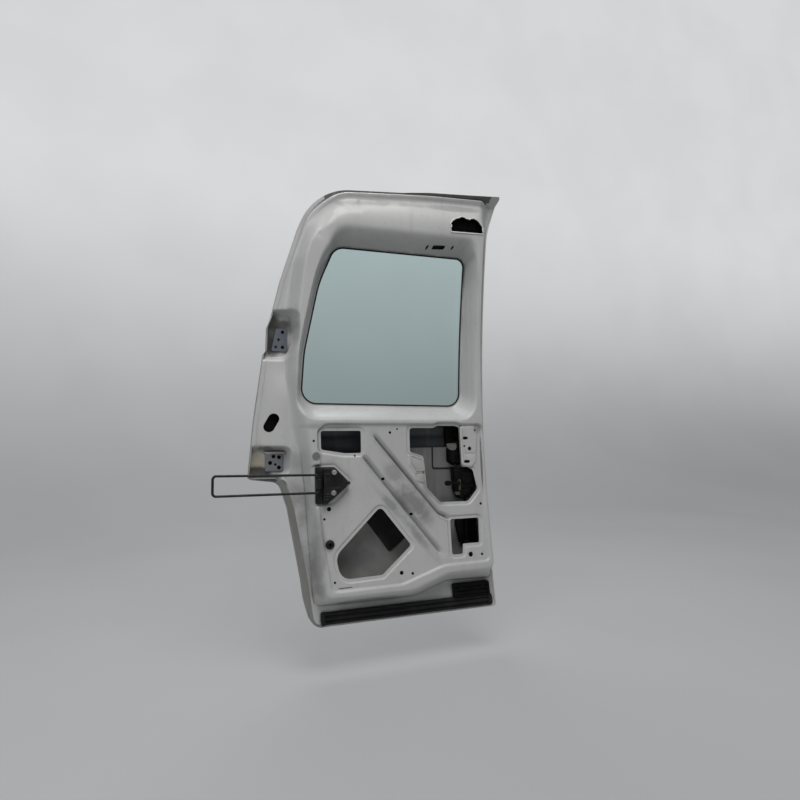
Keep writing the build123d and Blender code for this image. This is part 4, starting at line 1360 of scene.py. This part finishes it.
def paint_material(name, color, dirt_and_shade, stains_and_shadows=()):
    """Aged paint with stains and painted shadows: place, size, lean, colour and strength of each."""
    made, tree, shader = material(name, color, 0.4)
    shade = paint_shade(tree, color, dirt_and_shade)
    for at, size, lean, stain_and_shade, strength in stains_and_shadows:
        cloud = ramp(tree, noise(tree, 11.0, 7.0, roughness=0.6), 0.32, 0.66, 0.3, 1.3)
        patch = math_node(tree, "MULTIPLY", spot(tree, at, size, lean), cloud)
        shade = coat(tree, shade, patch, 0.02, 0.7, strength, stain_and_shade)
    paint_finish(tree, shader, shade)
    return made


def skin_material(name):
    """Paint outside and dull dark primer inside; the primer's darkness is partly painted shade, and it is
    also laid as painted shade on the outer faces that look to the hinge side or down.
    """
    made, tree, shader = material(name, PAINT, 0.4)
    shade = paint_shade(tree, PAINT, 0.3)
    primer = coat(tree, PRIMER_AND_SHADE, noise(tree, 7.0, 5.0), 0.35, 0.7, 1.0, PRIMER_AND_SHADE_DARK)
    paint_finish(tree, shader, tint(tree, inner_and_shaded_faces(tree), shade, primer))
    return made


def glass_material(name):
    made, tree, shader = material(name, (0.6, 0.72, 0.715), 0.03)
    haze = ramp(tree, noise(tree, 12.0, 5.0), 0.4, 0.8, 0.015, 0.09)
    feed(tree, shader, {"Transmission Weight": 1.0, "IOR": 1.5, "Roughness": haze})
    return made


def rubber_material(name, color, dusty):
    made, tree, shader = material(name, color, 0.7)
    shade = coat(tree, color, noise(tree, 30.0, 6.0), 0.42, 0.8, 0.5, dusty)
    # Painted shade: darker where the rubber is occluded in its corners.
    corner_shade = tuple(0.4 * c for c in color)
    shade = coat(tree, shade, crevice(tree, 0.004), 0.2, 0.7, 0.7, corner_shade)
    feed(tree, shader, {"Base Color": shade, "Specular IOR Level": 0.25})
    bump(tree, shader, noise(tree, 260.0, 3.0), 0.0002, 0.4)
    return made


def plastic_material(name, color, worn):
    made, tree, shader = material(name, color, 0.5)
    shade = coat(tree, color, noise(tree, 40.0, 6.0), 0.45, 0.8, 0.5, worn)
    spread = ramp(tree, noise(tree, 70.0), 0.3, 0.7, 0.4, 0.62)
    feed(tree, shader, {"Base Color": shade, "Roughness": spread, "Specular IOR Level": 0.14})
    bump(tree, shader, noise(tree, 500.0, 2.0), 0.00015, 0.35)
    return made


def steel_material(name, color, worn, roughness, metallic):
    made, tree, shader = material(name, color, roughness, metallic)
    shade = coat(tree, color, noise(tree, 55.0, 6.0), 0.45, 0.75, 0.6, worn)
    spread = ramp(tree, noise(tree, 90.0), 0.3, 0.7, roughness - 0.1, roughness + 0.12)
    feed(tree, shader, {"Base Color": shade, "Roughness": spread, "Specular IOR Level": 0.35})
    bump(tree, shader, noise(tree, 300.0, 3.0), 0.00015, 0.35)
    return made


BACKDROP_DULL = (0.6, 0.6, 0.6)
BACKDROP_SEEN = (0.2, 0.203, 0.206)
BACKDROP_GLOW = (0.36, 0.366, 0.372)
# Heights over which the backdrop's glow rises, and its strengths there: painted light, brighter towards the
# top.
BACKDROP_HEIGHTS = (-0.6, 2.4)
BACKDROP_PAINTED_FALLOFF = (0.64, 1.75)


def backdrop_material():
    """Pale to the eye and in reflections, duller where it sends light back to the door, with painted light:
    its glow grows brighter towards the top.
    """
    made, tree, shader = material("pale_backdrop", BACKDROP_DULL, 0.9)
    path = add_node(tree, "LightPath", {}).outputs
    seen = math_node(tree, "MAXIMUM", path["Is Camera Ray"], path["Is Glossy Ray"])
    seen = math_node(tree, "MAXIMUM", seen, path["Is Transmission Ray"])
    mottle = ramp(tree, noise(tree, 1.2, 2.0), 0.3, 0.7, 0.95, 1.0)
    height = add_node(tree, "SeparateXYZ", {"Vector": mapped(tree, {})}).outputs["Z"]
    # Painted light: the glow grows stronger towards the top.
    strength = ramp(tree, height, *BACKDROP_HEIGHTS, *BACKDROP_PAINTED_FALLOFF)
    glow = math_node(tree, "MULTIPLY", seen, math_node(tree, "MULTIPLY", mottle, strength))
    shade = tint(tree, seen, BACKDROP_DULL, BACKDROP_SEEN)
    feed(tree, shader, {"Base Color": shade, "Emission Color": BACKDROP_GLOW, "Emission Strength": glow})
    return made


# Stain colours; soot and grease also paint a few shadows and a hole's shade.
BROWN = (0.1, 0.082, 0.06)
BEIGE = (0.33, 0.29, 0.2)
SOOT_AND_SHADE = (0.09, 0.09, 0.088)
GREASE_AND_SHADE = (0.02, 0.02, 0.018)
# Stains of the inner paint, with a few painted shadows marked below: place, size, lean, colour and strength
# of each.
INNER_STAINS_AND_SHADOWS = [
    ((-48, 4), (46, 64), 0, BEIGE, 0.75),
    ((-40, -30), (48, 24), 8, GREASE_AND_SHADE, 0.9),
    ((-60, -40), (60, 20), 0, SOOT_AND_SHADE, 0.7),
    # Painted shadow under the lower pocket's top wall.
    ((-30, 28), (80, 16), 0, SOOT_AND_SHADE, 0.8),
    # Painted shadow at the top of the upper pocket.
    ((4, 350), (70, 34), 20, SOOT_AND_SHADE, 1.0),
    ((-4, 316), (32, 70), 0, GREASE_AND_SHADE, 0.9),
    ((-12, 286), (34, 44), 0, GREASE_AND_SHADE, 1.0),
    ((98, -240), (26, 170), 0, SOOT_AND_SHADE, 0.4),
    ((58, -180), (24, 150), 10, SOOT_AND_SHADE, 0.35),
    # Dirt and painted shadow along the foot of the pan's lower lip.
    ((240, -352), (240, 14), 0, SOOT_AND_SHADE, 0.5),
    ((346, -112), (120, 52), 50, SOOT_AND_SHADE, 0.62),
    ((300, -48), (60, 40), 50, SOOT_AND_SHADE, 0.35),
    ((404, -92), (80, 26), 50, SOOT_AND_SHADE, 0.5),
    ((324, -164), (190, 20), 50, SOOT_AND_SHADE, 0.5),
    ((60, -300), (60, 160), 0, SOOT_AND_SHADE, 0.4),
    ((40, -90), (50, 60), 0, SOOT_AND_SHADE, 0.4),
    ((300, -372), (320, 22), 0, SOOT_AND_SHADE, 0.35),
    ((130, 84), (120, 14), 0, SOOT_AND_SHADE, 0.35),
    # Dirt and painted shadow under the top hem.
    ((230, 662), (170, 13), -5.5, SOOT_AND_SHADE, 0.4),
    ((460, 679), (180, 13), -3, SOOT_AND_SHADE, 0.4),
    # Painted shade: a dark spot for a small hole near the top corner.
    ((573, 716), (10, 6), 0, GREASE_AND_SHADE, 1.0),
    ((556, -10), (4, 120), 0, SOOT_AND_SHADE, 0.8),
    ((548, 76), (30, 26), 0, BROWN, 0.45),
    ((-6, -43), (48, 8), 0, GREASE_AND_SHADE, 0.85),
    ((20, -56), (22, 8), 45, GREASE_AND_SHADE, 0.8),
    ((30, -92), (8, 40), 8, SOOT_AND_SHADE, 0.6),
]
PAINTS = {
    "inner_paint": (PAINT, 1.0, INNER_STAINS_AND_SHADOWS),
    "plain_paint": ((0.42, 0.422, 0.42), 0.9),
    # Pale torn edge, and a painted highlight along the lip below it.
    "pale_paint": ((0.72, 0.722, 0.72), 0.3),
    "pad_paint": ((0.105, 0.115, 0.14), 0.8),
    "lower_pad_paint": ((0.17, 0.18, 0.2), 0.9),
    "primer": ((0.17, 0.172, 0.172), 0.6),
    # The belt beam's very dark colour is painted shade over its primer.
    "dark_paint": ((0.05, 0.06, 0.068), 0.3),
    # Dark hem colour: painted shade under the skin's curl, with grime.
    "edge_paint": ((0.1, 0.098, 0.093), 0.8),
    "fold_paint": ((0.2, 0.197, 0.188), 0.8),
    # The handle cup is painted darker than the primer round it: painted shade.
    "cup_paint": ((0.17, 0.17, 0.168), 0.6),
}
RUBBERS = {
    "black_rubber": ((0.01, 0.01, 0.011), (0.04, 0.039, 0.037)),
    "pad_rubber": ((0.022, 0.022, 0.023), (0.06, 0.058, 0.054)),
    "grey_rubber": ((0.58, 0.58, 0.57), (0.4, 0.4, 0.39)),
}
PLASTICS = {
    "black_plastic": ((0.004, 0.004, 0.0045), (0.012, 0.012, 0.0125)),
    "grey_plastic": ((0.2, 0.2, 0.2), (0.13, 0.13, 0.128)),
    "pale_plastic": ((0.42, 0.42, 0.41), (0.2, 0.195, 0.185)),
}
STEELS = {
    "black_steel": ((0.007, 0.007, 0.008), (0.03, 0.029, 0.027), 0.42, 0.0),
    "wire_steel": ((0.009, 0.009, 0.01), (0.035, 0.034, 0.032), 0.45, 0.0),
    "zinc_steel": ((0.5, 0.49, 0.47), (0.3, 0.285, 0.26), 0.36, 0.8),
    "dull_steel": ((0.26, 0.25, 0.225), (0.08, 0.072, 0.06), 0.45, 0.7),
    "worn_steel": ((0.12, 0.11, 0.085), (0.05, 0.044, 0.034), 0.5, 0.6),
}
LOOKS = [
    (paint_material, PAINTS),
    (skin_material, {"outer_paint": ()}),
    (glass_material, {"tinted_glass": ()}),
    (rubber_material, RUBBERS),
    (plastic_material, PLASTICS),
    (steel_material, STEELS),
]
finishes = {name: make(name, *look) for make, looks in LOOKS for name, look in looks.items()}

NODE_FINISHES = {
    "outer_paint": ["outer_skin"],
    "inner_paint": ["window_frame", "inner_panel"],
    "plain_paint": ["lock_plate"],
    "pad_paint": ["lower_hinge_pad", "upper_hinge_pad"],
    "cup_paint": ["handle_cup"],
    "dark_paint": ["belt_beam"],
    "tinted_glass": ["window_glass"],
    "black_rubber": ["window_seal", "bottom_strip", "rubber_buffer"],
    "pad_rubber": ["damping_pad"],
    "grey_rubber": ["lock_edge_seal"],
    "black_plastic": ["latch_case", "latch_lever", "handle_grip", "bolt_guide", "top_latch_box"],
    "grey_plastic": ["hole_plug"],
    "black_steel": ["check_bracket"],
    "wire_steel": ["check_loop"],
    "zinc_steel": ["check_bolt_upper", "check_bolt_lower", "lock_barrel"],
}


def dress(piece, finish):
    piece.data.materials.clear()
    piece.data.materials.append(finishes[finish])


def add_piece(piece, finish, slot, *stands_for, body="door"):
    """Gives a new piece its finish, its body and the nodes that it stands for."""
    dress(piece, finish)
    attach(piece, body)
    if stands_for:
        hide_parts(*stands_for)


for finish_name, node_names in NODE_FINISHES.items():
    for node_name in node_names:
        dress(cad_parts[node_name], finish_name)
inner_pressing = pressed_sheet("inner_pressing", *sheet_points(), panel_y)
add_piece(inner_pressing, "inner_paint", "body_paint", "window_frame", "inner_panel")
add_piece(edge_fold(), "fold_paint", "body_paint")
add_piece(top_hem(), "edge_paint", "body_paint")
add_piece(torn_fringe(), "pale_paint", "body_paint")
add_piece(lock_plate(), "inner_paint", "body_paint", "lock_plate")
add_piece(window_bead(), "black_rubber", "black_rubber", "window_seal")
add_piece(bracket(), "black_steel", "black_steel", "check_bracket")
add_piece(bolt("bolt_upper", UPPER_BOLT), "zinc_steel", "zinc_steel", "check_bolt_upper")
add_piece(bolt("bolt_lower", LOWER_BOLT), "zinc_steel", "zinc_steel", "check_bolt_lower")
add_piece(latch(), "black_plastic", "black_plastic", "latch_case")
add_piece(latch_bars(), "worn_steel", "zinc_steel")
add_piece(lock_rods_and_shade_block(), "black_plastic", "black_plastic")
add_piece(lever(), "black_plastic", "black_plastic", "latch_lever", body="lever")
add_piece(handle_back(), "black_plastic", "black_plastic")
add_piece(silver_bit(), "dull_steel", "zinc_steel")
add_piece(backing(), "primer", "body_paint")
add_piece(slot_cover(), "black_plastic", "black_plastic")
add_piece(hole_shade_cups(), "black_plastic", "black_plastic")
add_piece(hinge_pad(), "lower_pad_paint", "body_paint", "lower_hinge_pad")
add_piece(pocket_ledge(), "plain_paint", "body_paint")
add_piece(key_lock(), "zinc_steel", "zinc_steel", "lock_barrel")
add_piece(beam(), "dark_paint", "body_paint", "belt_beam")
add_piece(latch_pocket(), "black_plastic", "black_plastic", "top_latch_box")
add_piece(bottom_strip(), "black_rubber", "black_rubber", "bottom_strip")
add_piece(guide(), "black_plastic", "black_plastic", "bolt_guide")
add_piece(edge_seal(), "grey_rubber", "grey_rubber", "lock_edge_seal")
add_piece(plug(), "grey_plastic", "grey_plastic", "hole_plug")
add_piece(buffer(), "black_rubber", "black_rubber", "rubber_buffer")
add_piece(clip_tab(), "pale_plastic", "grey_plastic")

# Camera of the photograph in metres: place, right, up and forward in the door's frame.
CAMERA_AT = (-0.2012, -1.4358, 0.0451)
CAMERA_RIGHT = (0.93653, -0.35046, -0.00977)
CAMERA_UP = (-0.01635, -0.07149, 0.99731)
CAMERA_AHEAD = (0.35021, 0.93385, 0.07268)
CAMERA_LENS = 25.2
CAMERA_SENSOR = 36.0
CAMERA_NEAR = 0.01


def add_camera():
    data = bpy.data.cameras.new("camera")
    data.lens = CAMERA_LENS
    data.sensor_width = CAMERA_SENSOR
    data.clip_start = CAMERA_NEAR
    camera = bpy.data.objects.new("camera", data)
    back = [-a for a in CAMERA_AHEAD]
    rows = [(*axis, at) for axis, at in zip(zip(CAMERA_RIGHT, CAMERA_UP, back), CAMERA_AT)]
    camera.matrix_world = Matrix((*rows, (0, 0, 0, 1)))
    bpy.context.scene.collection.objects.link(camera)
    bpy.context.scene.camera = camera


# Stage in metres.
FLOOR_Z = -0.52
FLOOR_FRONT = -5.0
BACKDROP_Y = 3.2
BACKDROP_CURVE = 1.4
BACKDROP_WIDE = 9.0
BACKDROP_HIGH = 6.0
CURVE_STEPS = 16


def add_backdrop():
    """Floor that curves up into a plain wall behind the door."""
    profile = [(FLOOR_FRONT, FLOOR_Z)]
    for k in range(CURVE_STEPS + 1):
        angle = math.radians(90 * k / CURVE_STEPS)
        y = BACKDROP_Y - BACKDROP_CURVE + BACKDROP_CURVE * math.sin(angle)
        profile.append((y, FLOOR_Z + BACKDROP_CURVE - BACKDROP_CURVE * math.cos(angle)))
    profile.append((BACKDROP_Y, BACKDROP_HIGH))
    verts = [(x, y, z) for y, z in profile for x in (-BACKDROP_WIDE, BACKDROP_WIDE)]
    faces = [(2 * i, 2 * i + 1, 2 * i + 3, 2 * i + 2) for i in range(len(profile) - 1)]
    backdrop = new_mesh("backdrop", verts, faces)
    backdrop.data.materials.append(backdrop_material())


WORLD_COLOR = (0.94, 0.97, 1.0)
WORLD_STRENGTH = 0.15
DOOR_CENTRE = (0.27, 0.0, 0.15)
# Place, aim, size, power and colour of each lamp.
LAMPS = {
    "top_lamp": ((0.15, -1.05, 2.05), DOOR_CENTRE, 1.6, 37.0, (1.0, 0.99, 0.975)),
    "side_lamp": ((-1.7, -1.3, 1.0), DOOR_CENTRE, 1.4, 9.0, (0.96, 0.98, 1.0)),
    "back_lamp": ((0.3, 1.5, 2.2), (0.3, 0.1, 0.2), 1.6, 22.0, (1.0, 1.0, 1.0)),
}


def add_lamp(name, at, aim, size, power, color):
    data = bpy.data.lights.new(name, "AREA")
    data.shape = "DISK"
    data.size = size
    data.energy = power
    data.color = color
    lamp = bpy.data.objects.new(name, data)
    lamp.location = at
    lamp.rotation_euler = (Vector(aim) - Vector(at)).to_track_quat("-Z", "Y").to_euler()
    bpy.context.scene.collection.objects.link(lamp)


def add_light():
    world = bpy.data.worlds.new("studio")
    world.use_nodes = True
    sky = world.node_tree.nodes["Background"]
    feed(world.node_tree, sky, {"Color": WORLD_COLOR, "Strength": WORLD_STRENGTH})
    bpy.context.scene.world = world
    for name, lamp in LAMPS.items():
        add_lamp(name, *lamp)


add_camera()
add_backdrop()
add_light()
bpy.context.scene.view_settings.view_transform = "Standard"
